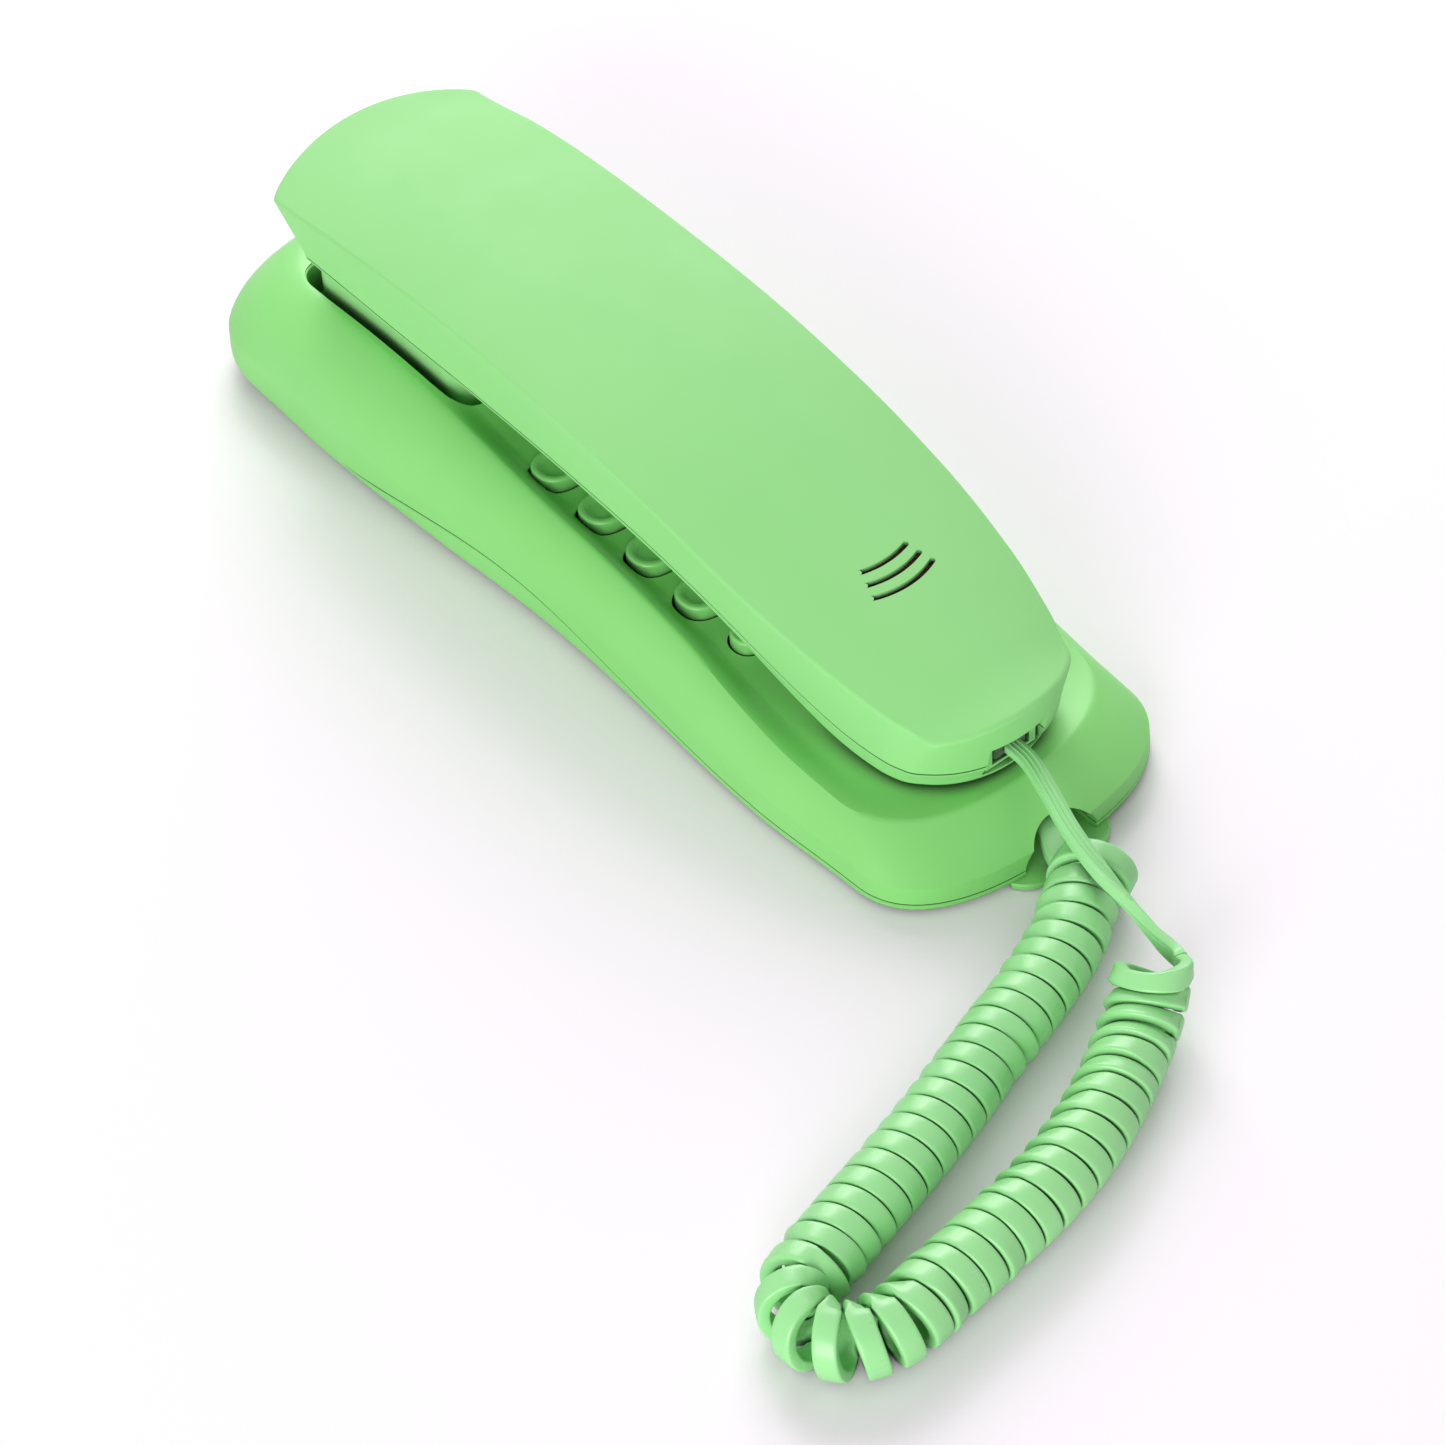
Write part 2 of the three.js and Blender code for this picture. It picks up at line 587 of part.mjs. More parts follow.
function baseBackShell() {
  let shell = baseBody(0).subtract(baseBody(BASE_WALL));
  shell = shell.intersect(under((y) => partingZ(y) - SEAM / 2));
  shell = basePorts(shell.add(lip()));
  BASE_SCREWS.forEach(([x, y]) => {
    shell = shell.add(cylinder(HEAD_BOSS_R, x, y, BASE_WALL - 0.5, BOSS_FOOT_Z - GAP, 10));
    shell = shell.subtract(cylinder(SCREW_R + GAP, x, y, -1, 10, 10));
    shell = shell.subtract(cylinder(SCREW_HEAD_R + GAP, x, y, -1, SCREW_SINK + SCREW_HEAD_H + GAP, 12));
  });
  [-1, 1].forEach((side) => [BOARD_LOW_Y + 10, BOARD_TOP_Y - 6].forEach((y) => {
    const x = side * (BOARD_HALF_X - STANDOFF_IN);
    shell = shell.add(cylinder(STANDOFF_R, x, y, BASE_WALL - 0.5, BOARD_Z - GAP, 8));
  }));
  KEYHOLE_Y.forEach((y) => {
    shell = shell.subtract(keyholeCutter(y));
  });
  for (let i = 0; i < SOUNDER_SLOTS; i += 1) {
    const offset = (i - (SOUNDER_SLOTS - 1) / 2) * SOUNDER_SLOT_PITCH;
    const half = Math.sqrt((SOUNDER_R - SOUNDER_SLOT_MARGIN) ** 2 - offset ** 2);
    const y = SOUNDER_Y + offset;
    const reach = SOUNDER_SLOT_WIDTH / 2;
    shell = shell.subtract(box(-half, half, y - reach, y + reach, -1, BASE_WALL + 1));
  }
  return shell;
}

// ---------------------------------------------------------------- inside the base

function circuitBoard() {
  let board = prism(roundedPath(BOARD_HALF_X, BOARD_LOW_Y, BOARD_TOP_Y, 2), BOARD_Z, BOARD_TOP_Z, 2);
  [-1, 1].forEach((side) => {
    const x = side * (BOARD_HALF_X - STANDOFF_IN);
    board = board.subtract(cylinder(BOARD_HOLE_R, x, BOARD_LOW_Y + 10, 0, 20, 10));
  });
  return board;
}

function keypadMat() {
  let mat = prism(
    roundedPath(MAT_HALF_X, LAST_ROW_Y - MAT_MARGIN_Y, KEY_TOP_ROW_Y + MAT_MARGIN_Y, 3),
    BOARD_TOP_Z + GAP,
    MAT_TOP_Z,
    3,
  );
  KEYS.forEach((key) => {
    const top = keyFootZ(key) - KEY_TRAVEL - GAP;
    const dome = ovalSolid([[DOME_R, DOME_R, MAT_TOP_Z - 0.4], [DOME_TOP_R, DOME_TOP_R, top]], 8, 2);
    mat = mat.add(dome.translate([key.x, key.y, 0]));
  });
  return mat;
}

const keyFootZ = (key) => plateUnder(key) - GAP - KEY_FLANGE_THICK - KEY_STEM;

function keyCap(key) {
  const a = KEY_HALF_X * key.scale;
  const b = KEY_HALF_Y * key.scale;
  const rim = plateTop(key) + KEY_STAND;
  const flangeTop = plateUnder(key) - GAP;
  const foot = keyFootZ(key);
  const levels = [
    [DOME_R, DOME_R, foot],
    [DOME_R, DOME_R, foot + KEY_STEM],
    [a + KEY_FLANGE, b + KEY_FLANGE, foot + KEY_STEM],
    [a + KEY_FLANGE, b + KEY_FLANGE, flangeTop],
    [a, b, flangeTop],
    [a, b, rim - 0.6],
    [a - 0.7, b - 0.7, rim],
    [a - 1.9, b - 1.8, rim - KEY_DISH],
  ];
  return ovalSolid(levels, KEY_SIDES, 2.3).translate([key.x, key.y, 0]);
}

const HOOK_TOP_Z = WELL_FLOOR_Z + GAP;
const HOOK_FLANGE_TOP_Z = WELL_FLOOR_Z - BASE_WALL - GAP - HOOK_TRAVEL;

function hookPlunger() {
  const path = roundedPath(HOOK_HALF, HOOK_Y - HOOK_HALF, HOOK_Y + HOOK_HALF, 0.8);
  const stem = prism(path, HOOK_FLANGE_TOP_Z - 0.2, HOOK_TOP_Z, 3);
  const wide = HOOK_HALF + HOOK_FLANGE;
  const footZ = HOOK_FLANGE_TOP_Z - HOOK_FLANGE_THICK;
  return stem.add(box(-wide, wide, HOOK_Y - wide, HOOK_Y + wide, footZ, HOOK_FLANGE_TOP_Z));
}

function hookSwitch() {
  const [length, width] = HOOK_SWITCH;
  return box(
    -length / 2, length / 2, HOOK_Y - width / 2, HOOK_Y + width / 2,
    BOARD_TOP_Z + GAP, HOOK_FLANGE_TOP_Z - HOOK_FLANGE_THICK - GAP,
  );
}

function lathe(points, sides) {
  const geometry = new THREE.LatheGeometry(points.map(([r, z]) => new THREE.Vector2(r, z)), sides);
  geometry.rotateX(Math.PI / 2);
  return toSolid(geometry);
}

function sounder() {
  const r = SOUNDER_R;
  const h = SOUNDER_H;
  return lathe([[0, 0.8], [r - 3, 0.8], [r - 2, 0], [r, 0], [r, 1.6], [r - 2, 2.4], [8, h], [0, h]], 14)
    .translate([0, SOUNDER_Y, BASE_WALL + GAP]);
}

function ringerSwitchBody() {
  const [width, depth] = RINGER_BODY;
  const face = BASE_TOP_Y - RINGER_SET_BACK;
  const x0 = RINGER_X - RINGER_SLOT[0] / 2 - RINGER_BODY_OVER;
  const topZ = RINGER_Z + RINGER_SLOT[1] / 2 + RINGER_BODY_OVER;
  return box(x0, x0 + width, face - depth, face, BASE_WALL + GAP, topZ);
}

function ringerSwitch() {
  const [width, height] = RINGER_KNOB;
  const x0 = RINGER_X - RINGER_SLOT[0] / 2 + GAP;
  return box(
    x0, x0 + width, BASE_TOP_Y - RINGER_SET_BACK + GAP, BASE_TOP_Y - RINGER_TIP_BACK,
    RINGER_Z - height / 2, RINGER_Z + height / 2,
  );
}

// ---------------------------------------------------------------- jacks and plugs

/** A four-way modular socket whose mouth faces -Y at (0, mouthY); floorZ is its lower face. */
function cordJack(mouthY, floorZ) {
  const half = PLUG[0] / 2 + GAP;
  const outer = half + JACK_WALL;
  const depth = JACK_LENGTH - JACK_WALL;
  const plugZ = floorZ + JACK_ROOF;
  const roofZ = floorZ + PLUG[2] + 2 * GAP + 2 * JACK_ROOF;
  return box(-outer, outer, mouthY, mouthY + JACK_LENGTH, floorZ, roofZ)
    .subtract(box(-half, half, mouthY - 1, mouthY + depth, plugZ, plugZ + PLUG[2] + 2 * GAP));
}

/** The clear plug inside it: stepped body, contact slots and the bore that the cord enters. */
function cordPlug(mouthY, floorZ) {
  const [width, length, height] = PLUG;
  const z = floorZ + JACK_ROOF + GAP;
  let plug = box(-width / 2, width / 2, mouthY, mouthY + length, z, z + height);
  const end = mouthY + length;
  const top = z + height;
  for (let i = 0; i < PLUG_WAYS; i += 1) {
    const x = (i - (PLUG_WAYS - 1) / 2) * CONTACT_PITCH;
    const half = CONTACT_WIDTH / 2;
    const foot = top - CONTACT_DEPTH;
    plug = plug.subtract(box(x - half, x + half, end - CONTACT_LENGTH, end + 1, foot, top + 1));
  }
  return plug.subtract(box(-width, width, mouthY - 1, mouthY + PLUG_STEP, top - 1, top + 1));
}

const BASE_JACK_Z = BASE_WALL + GAP;
const hsJackZ = () => underZ(HS_UNDER_LOW_Y) + HS_WALL + GAP;

function lineJack() {
  const [width, depth, height] = LINE_JACK;
  const [socketWidth, socketDepth, socketHeight] = LINE_SOCKET;
  const face = BASE_TOP_Y - BASE_WALL - GAP - LINE_SET_BACK;
  const z = LINE_Z + (height - socketHeight) / 2;
  const half = socketWidth / 2;
  return box(LINE_X - width / 2, LINE_X + width / 2, face - depth, face, LINE_Z, LINE_Z + height)
    .subtract(box(LINE_X - half, LINE_X + half, face - socketDepth, face + 1, z, z + socketHeight));
}

// ---------------------------------------------------------------- handset

const HS_CREASE_LOW_END = { depth: 3.4, bow: 4.3, power: 2.4 };
const HS_CREASE_TOP_END = { depth: 2.6, bow: 4.6, power: 2.2 };
const HS_SEAM_LOW_END = { depth: 4.6, bow: 4.4, power: 2.4 };
const HS_UNDER_LOW_END = { depth: 5.4, bow: 4.2, power: 2.4 };
const HS_UNDER_TOP_END = { depth: 4, bow: 4.4, power: 2.3 };

/** The handset as one body, drawn in by inset on every side. */
function handsetBody(inset) {
  const underRing = (draw, z, scale) => planRing({
    low: HS_UNDER_LOW_Y + inset + draw,
    top: HS_UNDER_TOP_Y - inset - draw,
    half: (y) => along(HS_UNDER_HALF, y) - inset - draw,
    z,
    scale,
    lowEnd: HS_UNDER_LOW_END,
    topEnd: HS_UNDER_TOP_END,
  });
  const creaseRing = (draw, z, scale) => planRing({
    low: HS_CREASE_LOW_Y + inset + draw,
    top: HS_CREASE_TOP_Y - inset - draw,
    half: (y) => along(HS_CREASE_HALF, y) - inset - draw,
    z,
    scale,
    lowEnd: HS_CREASE_LOW_END,
    topEnd: HS_CREASE_TOP_END,
  });
  const seamRing = planRing({
    low: HS_SEAM_LOW_Y + inset,
    top: HS_SEAM_TOP_Y - inset,
    half: (y) => along(HS_SEAM_HALF, y) - inset,
    z: seamZ,
    lowEnd: HS_SEAM_LOW_END,
    topEnd: HS_UNDER_TOP_END,
  });
  const creaseZ = (y) => along(HS_CREASE_Z, y);
  const crown = (lift) => (y, share) => creaseZ(y) + lift + HS_CROWN * (1 - share ** 2);
  const rings = [
    underRing(HS_UNDER_ROUND, (y) => underZ(y) + inset, 0),
    underRing(HS_UNDER_ROUND, (y) => underZ(y) + inset),
    underRing(HS_UNDER_ROUND * 0.3, (y) => underZ(y) + inset + HS_UNDER_ROUND * 0.3),
    underRing(0, (y) => underZ(y) + Math.max(inset, HS_UNDER_ROUND) + 0.2),
    seamRing,
    creaseRing(0, crown(-HS_CREASE_ROUND - inset)),
    creaseRing(HS_CREASE_ROUND * 0.4, crown(-HS_CREASE_ROUND * 0.35 - inset)),
  ];
  const face = HS_CREASE_ROUND * 1.4;
  [1, 0.82, 0.56, 0.28, 0].forEach((scale) => rings.push(creaseRing(face, crown(-inset), scale)));
  return toSolid(skin(rings));
}

const EAR_FACE_Z = WELL_FLOOR_Z + EAR_SEAT_GAP;
const MIC_BOOT_R = MIC_R + GAP + MIC_BOOT_WALL;

/** The opening in the lower end of the handset that the plug goes through. */
function handsetPort() {
  const z = hsJackZ();
  const height = PLUG[2] + 2 * GAP + 2 * JACK_ROOF;
  const back = HS_JACK_MOUTH_Y + HS_POCKET_DEPTH;
  return box(-HS_PORT_HALF, HS_PORT_HALF, HS_CREASE_LOW_Y - 5, back, z - GAP, z + height + GAP);
}

function ventCutter(index) {
  const y = VENT_Y[index];
  const half = VENT_HALF[index];
  const sweep = Math.asin(half / VENT_RADIUS);
  const middle = 1.5 * Math.PI;
  const centre = y + VENT_RADIUS;
  const shape = new THREE.Shape();
  shape.absarc(0, centre, VENT_RADIUS + VENT_WIDTH / 2, middle - sweep, middle + sweep, false);
  shape.absarc(0, centre, VENT_RADIUS - VENT_WIDTH / 2, middle + sweep, middle - sweep, true);
  return prism(shape, VENT_POCKET_Z, HS_REACH_Z, 8);
}

/** The space behind the vents, from a depth inside the handset's face; its sides are drawn in. */
function ventPocket(depth, drawn) {
  const low = VENT_Y[VENT_Y.length - 1] - VENT_CLOTH_MARGIN + drawn;
  const top = VENT_Y[0] + 2 * VENT_CLOTH_MARGIN - drawn;
  const half = VENT_CLOTH_HALF_X - drawn;
  return handsetBody(depth).intersect(box(-half, half, low, top, VENT_POCKET_Z, HS_REACH_Z));
}

function handsetOuterShell() {
  let shell = handsetBody(0).subtract(handsetBody(HS_WALL)).subtract(under((y) => seamZ(y) + SEAM / 2));
  shell = shell.subtract(ventPocket(VENT_SKIN, 0));
  VENT_Y.forEach((_, index) => {
    shell = shell.subtract(ventCutter(index));
  });
  HS_SCREW_Y.forEach((y) => {
    const foot = underZ(y) + HS_WALL + HS_BOSS_RISE + GAP;
    shell = shell.add(cylinder(BOSS_R, 0, y, foot, HS_REACH_Z, 12).intersect(handsetBody(0)));
    shell = shell.subtract(cylinder(SCREW_R + GAP, 0, y, foot - 1, handsetScrewZ(y) + HS_SCREW_L + 3, 10));
  });
  return shell.subtract(handsetPort());
}

const handsetScrewZ = (y) => underZ(y) + SCREW_SINK;

function earBoss(inset, z0, z1) {
  const reach = EAR_HALF_Y - inset;
  const path = roundedPath(EAR_HALF_X - inset, EAR_Y - reach, EAR_Y + reach, Math.max(EAR_CORNER - inset, 1));
  return prism(path, z0, z1, 5);
}

function handsetInnerShell() {
  const body = handsetBody(0);
  const cavity = handsetBody(HS_WALL);
  let shell = body.subtract(cavity).intersect(under((y) => seamZ(y) - SEAM / 2));
  const rootZ = underZ(EAR_Y) + 1;
  shell = shell.add(earBoss(1, EAR_FACE_Z, EAR_FACE_Z + 2)).add(earBoss(0, EAR_FACE_Z + 0.9, rootZ));
  shell = shell.subtract(earBoss(EAR_WALL, EAR_FACE_Z + EAR_WALL, rootZ + 4));
  for (let i = 0; i < EAR_HOLES; i += 1) {
    const angle = (2 * Math.PI * i) / EAR_HOLES;
    const x = EAR_HOLE_RING * Math.cos(angle);
    const y = EAR_Y + EAR_HOLE_RING * Math.sin(angle);
    shell = shell.subtract(cylinder(EAR_HOLE_R, x, y, EAR_FACE_Z - 1, EAR_FACE_Z + EAR_WALL + 1, 6));
  }
  shell = shell.subtract(cylinder(EAR_HOLE_R, 0, EAR_Y, EAR_FACE_Z - 1, EAR_FACE_Z + EAR_WALL + 1, 6));
  for (let i = 0; i < MIC_SLOTS; i += 1) {
    const x = (i - (MIC_SLOTS - 1) / 2) * MIC_SLOT_PITCH;
    const w = MIC_SLOT_WIDTH / 2;
    const l = MIC_SLOT_LENGTH / 2;
    shell = shell.subtract(box(x - w, x + w, MIC_Y - l, MIC_Y + l, 5, micZ() - GAP + 0.1));
  }
  HS_SCREW_Y.forEach((y) => {
    const z = handsetScrewZ(y);
    shell = shell.add(cylinder(HEAD_BOSS_R, 0, y, underZ(y) + 0.8, underZ(y) + HS_WALL + HS_BOSS_RISE, 12));
    shell = shell.subtract(cylinder(SCREW_R + GAP, 0, y, z - 3, z + 12, 10));
    shell = shell.subtract(cylinder(SCREW_HEAD_R + GAP, 0, y, z - 6, z + SCREW_HEAD_H + GAP, 12));
  });
  return shell.subtract(handsetPort());
}

function receiver() {
  const z = EAR_FACE_Z + EAR_WALL + GAP;
  const r = RECEIVER_R;
  const h = RECEIVER_H;
  const back = r - RECEIVER_STEP;
  const profile = [[0, 0], [r, 0], [r, h * 0.45], [back, h * 0.6], [back, h], [0, h]];
  return lathe(profile, 16).translate([0, EAR_Y, z]);
}

const micZ = () => Math.max(underZ(MIC_Y - MIC_BOOT_R), underZ(MIC_Y + MIC_BOOT_R)) + HS_WALL + GAP;

function micBoot() {
  const r = MIC_R + GAP;
  const wall = MIC_BOOT_WALL;
  const h = MIC_H + wall;
  const bore = MIC_BOOT_BORE_R;
  const rings = [[bore, 0], [MIC_BOOT_R, 0], [MIC_BOOT_R, h], [r, h], [r, wall], [bore, wall], [bore, 0]];
  return lathe(rings, 14).translate([0, MIC_Y, micZ()]);
}

function microphone() {
  const h = MIC_H;
  const r = MIC_R;
  const z = micZ() + MIC_BOOT_WALL + GAP;
  return lathe([[0, 0], [r - 0.4, 0], [r, 0.4], [r, h], [0, h]], 12).translate([0, MIC_Y, z]);
}

function ballast() {
  const [width, length, height] = BALLAST;
  const low = BALLAST_Y - length / 2;
  const top = BALLAST_Y + length / 2;
  const z = Math.max(underZ(low), underZ(BALLAST_Y), underZ(top)) + HS_WALL + GAP;
  let bar = prism(roundedPath(width / 2, low, top, 3), z, z + height, 3);
  HS_SCREW_Y.forEach((y) => {
    bar = bar.subtract(cylinder(HEAD_BOSS_R + GAP, 0, y, 0, 90, 12));
  });
  return bar;
}

function ventCloth() {
  const inset = VENT_SKIN + GAP;
  return ventPocket(inset, GAP).subtract(handsetBody(inset + VENT_CLOTH_THICK));
}

// ---------------------------------------------------------------- screws

function screw(length) {
  const r = SCREW_R;
  const head = SCREW_HEAD_R;
  const h = SCREW_HEAD_H;
  const tip = h + length;
  const blank = lathe([[0, 0], [head * 0.8, 0], [head, h * 0.5], [head, h], [r, h], [r, tip], [0, tip]], 8);
  const slot = 0.4;
  const reach = head * 0.55;
  return blank
    .subtract(box(-reach, reach, -slot, slot, -1, h * 0.5))
    .subtract(box(-slot, slot, -reach, reach, -1, h * 0.5));
}

// ---------------------------------------------------------------- cord

/**
 * Middle line of the coil as [x, y], with its height above its rest on the floor where it has one:
 * down from the handset's lead, then round on the floor to the base.
 */
const COIL_ROUTE = [
  [-13.6, -134.2, 7.1], [-14.9, -135.2, 4.5], [-17.6, -137, 2.1], [-22.2, -139.6, 0.5], [-28.5, -142.8],
  [-39.5, -147.8], [-52.9, -151.5], [-68, -153.4], [-79, -154.6], [-87.6, -155.2], [-94.2, -152.4],
  [-96.8, -146.6], [-94, -140.9], [-87.4, -138.6], [-78.6, -136.2], [-65.1, -132.9], [-51.6, -129.1],
  [-38.3, -124.7], [-24.6, -120.6], [-15.4, -117], [-8, -112.4], [-1.6, -109.6],
];
const COIL_REST_Z = COIL_R + CORD_THICK / 2 + COIL_FLOOR_GAP;
/** The free stretches, each from its plug to about one cord's width short of the coil. */
const HANDSET_LEAD_ROUTE = [
  [0, -86.8, 17.3], [-0.3, -91, 17.3], [-2.4, -98, 17], [-5, -106, 16], [-7, -115, 14.4], [-7.9, -123, 12.4],
];
const BASE_LEAD_ROUTE = [
  [0, -87.7, 5.6], [0, -91, 5.6], [0, -95, 5.2], [0.2, -99.4, 4.3],
];

function coilPath() {
  const points = COIL_ROUTE.map(([x, y, rise = 0]) => new THREE.Vector3(x, y, COIL_REST_Z + rise));
  return new THREE.CatmullRomCurve3(points, false, 'centripetal');
}

/** Section of the flat cord as a ring: width along u, thickness along v. */
function cordSection(sides, u, v, centre) {
  const ring = [];
  for (let i = 0; i < sides; i += 1) {
    const angle = (2 * Math.PI * (i + 0.5)) / sides;
    const a = (CORD_WIDTH / 2) * Math.cos(angle);
    const b = (CORD_THICK / 2) * Math.sin(angle);
    ring.push(centre.clone().addScaledVector(u, a).addScaledVector(v, b));
  }
  return ring;
}

/** How far the inner side of a curl is pressed flat, as a share, where the route bends this much. */
const drawAt = (bend) => COIL_BEND_DRAW * Math.min(bend / COIL_TIGHT_BEND, 1);

/**
 * Turns of the coil as one unbroken tube; where the route bends, the pitch opens and each curl is
 * pressed flat on the inside.
 */
function coilFrames() {
  const path = coilPath();
  const length = path.getLength();
  const FINE = 600;
  const up = new THREE.Vector3(0, 0, 1);
  const tangents = [];
  const points = [];
  for (let i = 0; i <= FINE; i += 1) {
    points.push(path.getPointAt(i / FINE));
    tangents.push(path.getTangentAt(i / FINE));
  }
  const ds = length / FINE;
  const bends = [];
  const toward = [];
  const phases = [0];
  for (let i = 0; i <= FINE; i += 1) {
    const before = Math.max(i - COIL_BEND_SPAN, 0);
    const after = Math.min(i + COIL_BEND_SPAN, FINE);
    const turned = tangents[after].clone().sub(tangents[before]);
    bends.push(turned.length() / (ds * (after - before)));
    toward.push(turned.length() > 1e-6 ? turned.normalize() : new THREE.Vector3());
    const reach = COIL_R * (1 - drawAt(bends[i])) + CORD_THICK / 2;
    const inner = Math.max(1 - bends[i] * reach, 0.3);
    const pitch = Math.max(COIL_PITCH, (CORD_WIDTH + COIL_BEND_GAP) / inner);
    if (i > 0) phases.push(phases[i - 1] + (2 * Math.PI * ds) / pitch);
  }
  const excess = COIL_LAST_PHASE - COIL_FIRST_PHASE;
  const turns = Math.round((phases[FINE] - excess) / (2 * Math.PI));
  const stretch = (2 * Math.PI * turns + excess) / phases[FINE];
  const total = phases[FINE] * stretch;
  const steps = Math.round((total / (2 * Math.PI)) * COIL_STEPS);
  const frames = [];
  let k = 0;
  for (let n = 0; n <= steps; n += 1) {
    const wound = (total * n) / steps;
    while (k < FINE - 1 && phases[k + 1] * stretch < wound) k += 1;
    const t = Math.min((wound / stretch - phases[k]) / (phases[k + 1] - phases[k]), 1);
    const centre = points[k].clone().lerp(points[k + 1], t);
    const axis = tangents[k].clone().lerp(tangents[k + 1], t).normalize();
    const side = new THREE.Vector3().crossVectors(axis, up).normalize();
    const lift = new THREE.Vector3().crossVectors(side, axis);
    const phase = wound + COIL_FIRST_PHASE;
    const out = lift.clone().multiplyScalar(Math.cos(phase)).addScaledVector(side, Math.sin(phase));
    const ahead = lift.clone().multiplyScalar(-Math.sin(phase)).addScaledVector(side, Math.cos(phase));
    const inward = Math.max(out.dot(toward[k]), 0);
    const reach = COIL_R * (1 - drawAt(bends[k]) * inward ** 2);
    frames.push({ centre: centre.addScaledVector(out, reach), axis, out, ahead });
  }
  const beyond = (frame, run) => {
    const centre = frame.centre.clone().addScaledVector(frame.ahead, run);
    return { ...frame, centre };
  };
  frames.unshift(beyond(frames[0], -CORD_WIDTH));
  frames.push(beyond(frames[frames.length - 1], CORD_WIDTH));
  return frames;
}

const COIL = coilFrames();

function curls() {
  const rings = COIL.map((f) => cordSection(COIL_SIDES, f.axis, f.out, f.centre));
  const point = (ring) => {
    const middle = ring.reduce((sum, p) => sum.add(p), new THREE.Vector3()).divideScalar(ring.length);
    return ring.map(() => middle.clone());
  };
  return toSolid(skin([point(rings[0]), ...rings, point(rings[rings.length - 1])]));
}

/** Least clear space between turns, measured between section points one turn or more apart. */
function leastCoilGap() {
  const sections = COIL.map((f) => cordSection(COIL_SIDES, f.axis, f.out, f.centre));
  let least = Infinity;
  sections.forEach((ring, i) => {
    for (let j = i + COIL_STEPS - 1; j < sections.length; j += 1) {
      if (COIL[i].centre.distanceTo(COIL[j].centre) > 3 * COIL_PITCH) continue;
      ring.forEach((p) => sections[j].forEach((q) => {
        least = Math.min(least, p.distanceTo(q));
      }));
    }
  });
  return least;
}

/** A free stretch of the flat cord; it meets the coil's own end squarely. */
function lead(route, coilEnd, away) {
  const points = route.map(([x, y, z]) => new THREE.Vector3(x, y, z));
  const end = coilEnd.centre.clone().addScaledVector(away, GAP);
  points.push(end.clone().addScaledVector(away, CORD_WIDTH), end);
  const path = new THREE.CatmullRomCurve3(points, false, 'centripetal');
  const section = new THREE.Shape();
  for (let i = 0; i < LEAD_SIDES; i += 1) {
    const angle = (2 * Math.PI * (i + 0.5)) / LEAD_SIDES;
    const point = [(CORD_THICK / 2) * Math.cos(angle), (CORD_WIDTH / 2) * Math.sin(angle)];
    if (i === 0) section.moveTo(...point);
    else section.lineTo(...point);
  }
  section.closePath();
  const steps = Math.round(path.getLength() / LEAD_STEP) * 2;
  return toSolid(new THREE.ExtrudeGeometry(section, { steps, bevelEnabled: false, extrudePath: path }));
}

function handsetLead() {
  const start = COIL[0];
  return lead(HANDSET_LEAD_ROUTE, start, start.ahead.clone().negate());
}

function baseLead() {
  const end = COIL[COIL.length - 1];
  return lead(BASE_LEAD_ROUTE, end, end.ahead);
}

// ---------------------------------------------------------------- assembly

const GREEN = { color: 0x8fdc80, roughness: 0.42, metalness: 0 };
const HANDSET_GREEN = { color: 0x9ae693, roughness: 0.42, metalness: 0 };
const CORD_GREEN = { color: 0x8cd487, roughness: 0.35, metalness: 0 };
const RUBBER = { color: 0xb9bdb6, roughness: 0.8, metalness: 0 };
const BOARD = { color: 0x2f6b3c, roughness: 0.6, metalness: 0 };
const DARK = { color: 0x2b2b2b, roughness: 0.6, metalness: 0 };
const BROWN = { color: 0x5a2f1c, roughness: 0.9, metalness: 0 };
const CLEAR = { color: 0xdfe8ea, roughness: 0.1, metalness: 0 };
const STEEL = { color: 0xb8bcc0, roughness: 0.35, metalness: 1 };

const phone = new THREE.Group();

function place(name, solid, finish, parent = phone) {
  const mesh = new THREE.Mesh(toGeometry(solid), new THREE.MeshStandardMaterial(finish));
  mesh.name = name;
  parent.add(mesh);
  return mesh;
}

function buildBase() {
  place('base_top_shell', baseTopShell(), GREEN);
  place('base_back_shell', baseBackShell(), GREEN);
  place('circuit_board', circuitBoard(), BOARD);
  place('keypad_mat', keypadMat(), RUBBER);
  place('hook_plunger', hookPlunger(), GREEN);
  place('hook_switch', hookSwitch(), DARK);
  place('sounder', sounder(), DARK);
  place('line_jack', lineJack(), DARK);
  place('ringer_switch', ringerSwitch(), DARK);
  place('ringer_switch_body', ringerSwitchBody(), DARK);
  place('base_cord_jack', cordJack(BASE_JACK_MOUTH_Y, BASE_JACK_Z), DARK);
  place('base_plug', cordPlug(BASE_JACK_MOUTH_Y, BASE_JACK_Z), CLEAR);
  BASE_SCREWS.forEach(([x, y], i) => {
    place(`base_screw_${i + 1}`, screw(SCREW_L).translate([x, y, SCREW_SINK]), STEEL);
  });
}

function buildKeys() {
  const names = ['1', '2', '3', '4', '5', '6', '7', '8', '9', 'star', '0', 'hash'];
  const functions = ['function_key_left', 'function_key_middle', 'function_key_right'];
  KEYS.forEach((key, i) => {
    const name = i < names.length ? `key_${names[i]}` : functions[i - names.length];
    place(name, keyCap(key), GREEN);
  });
}

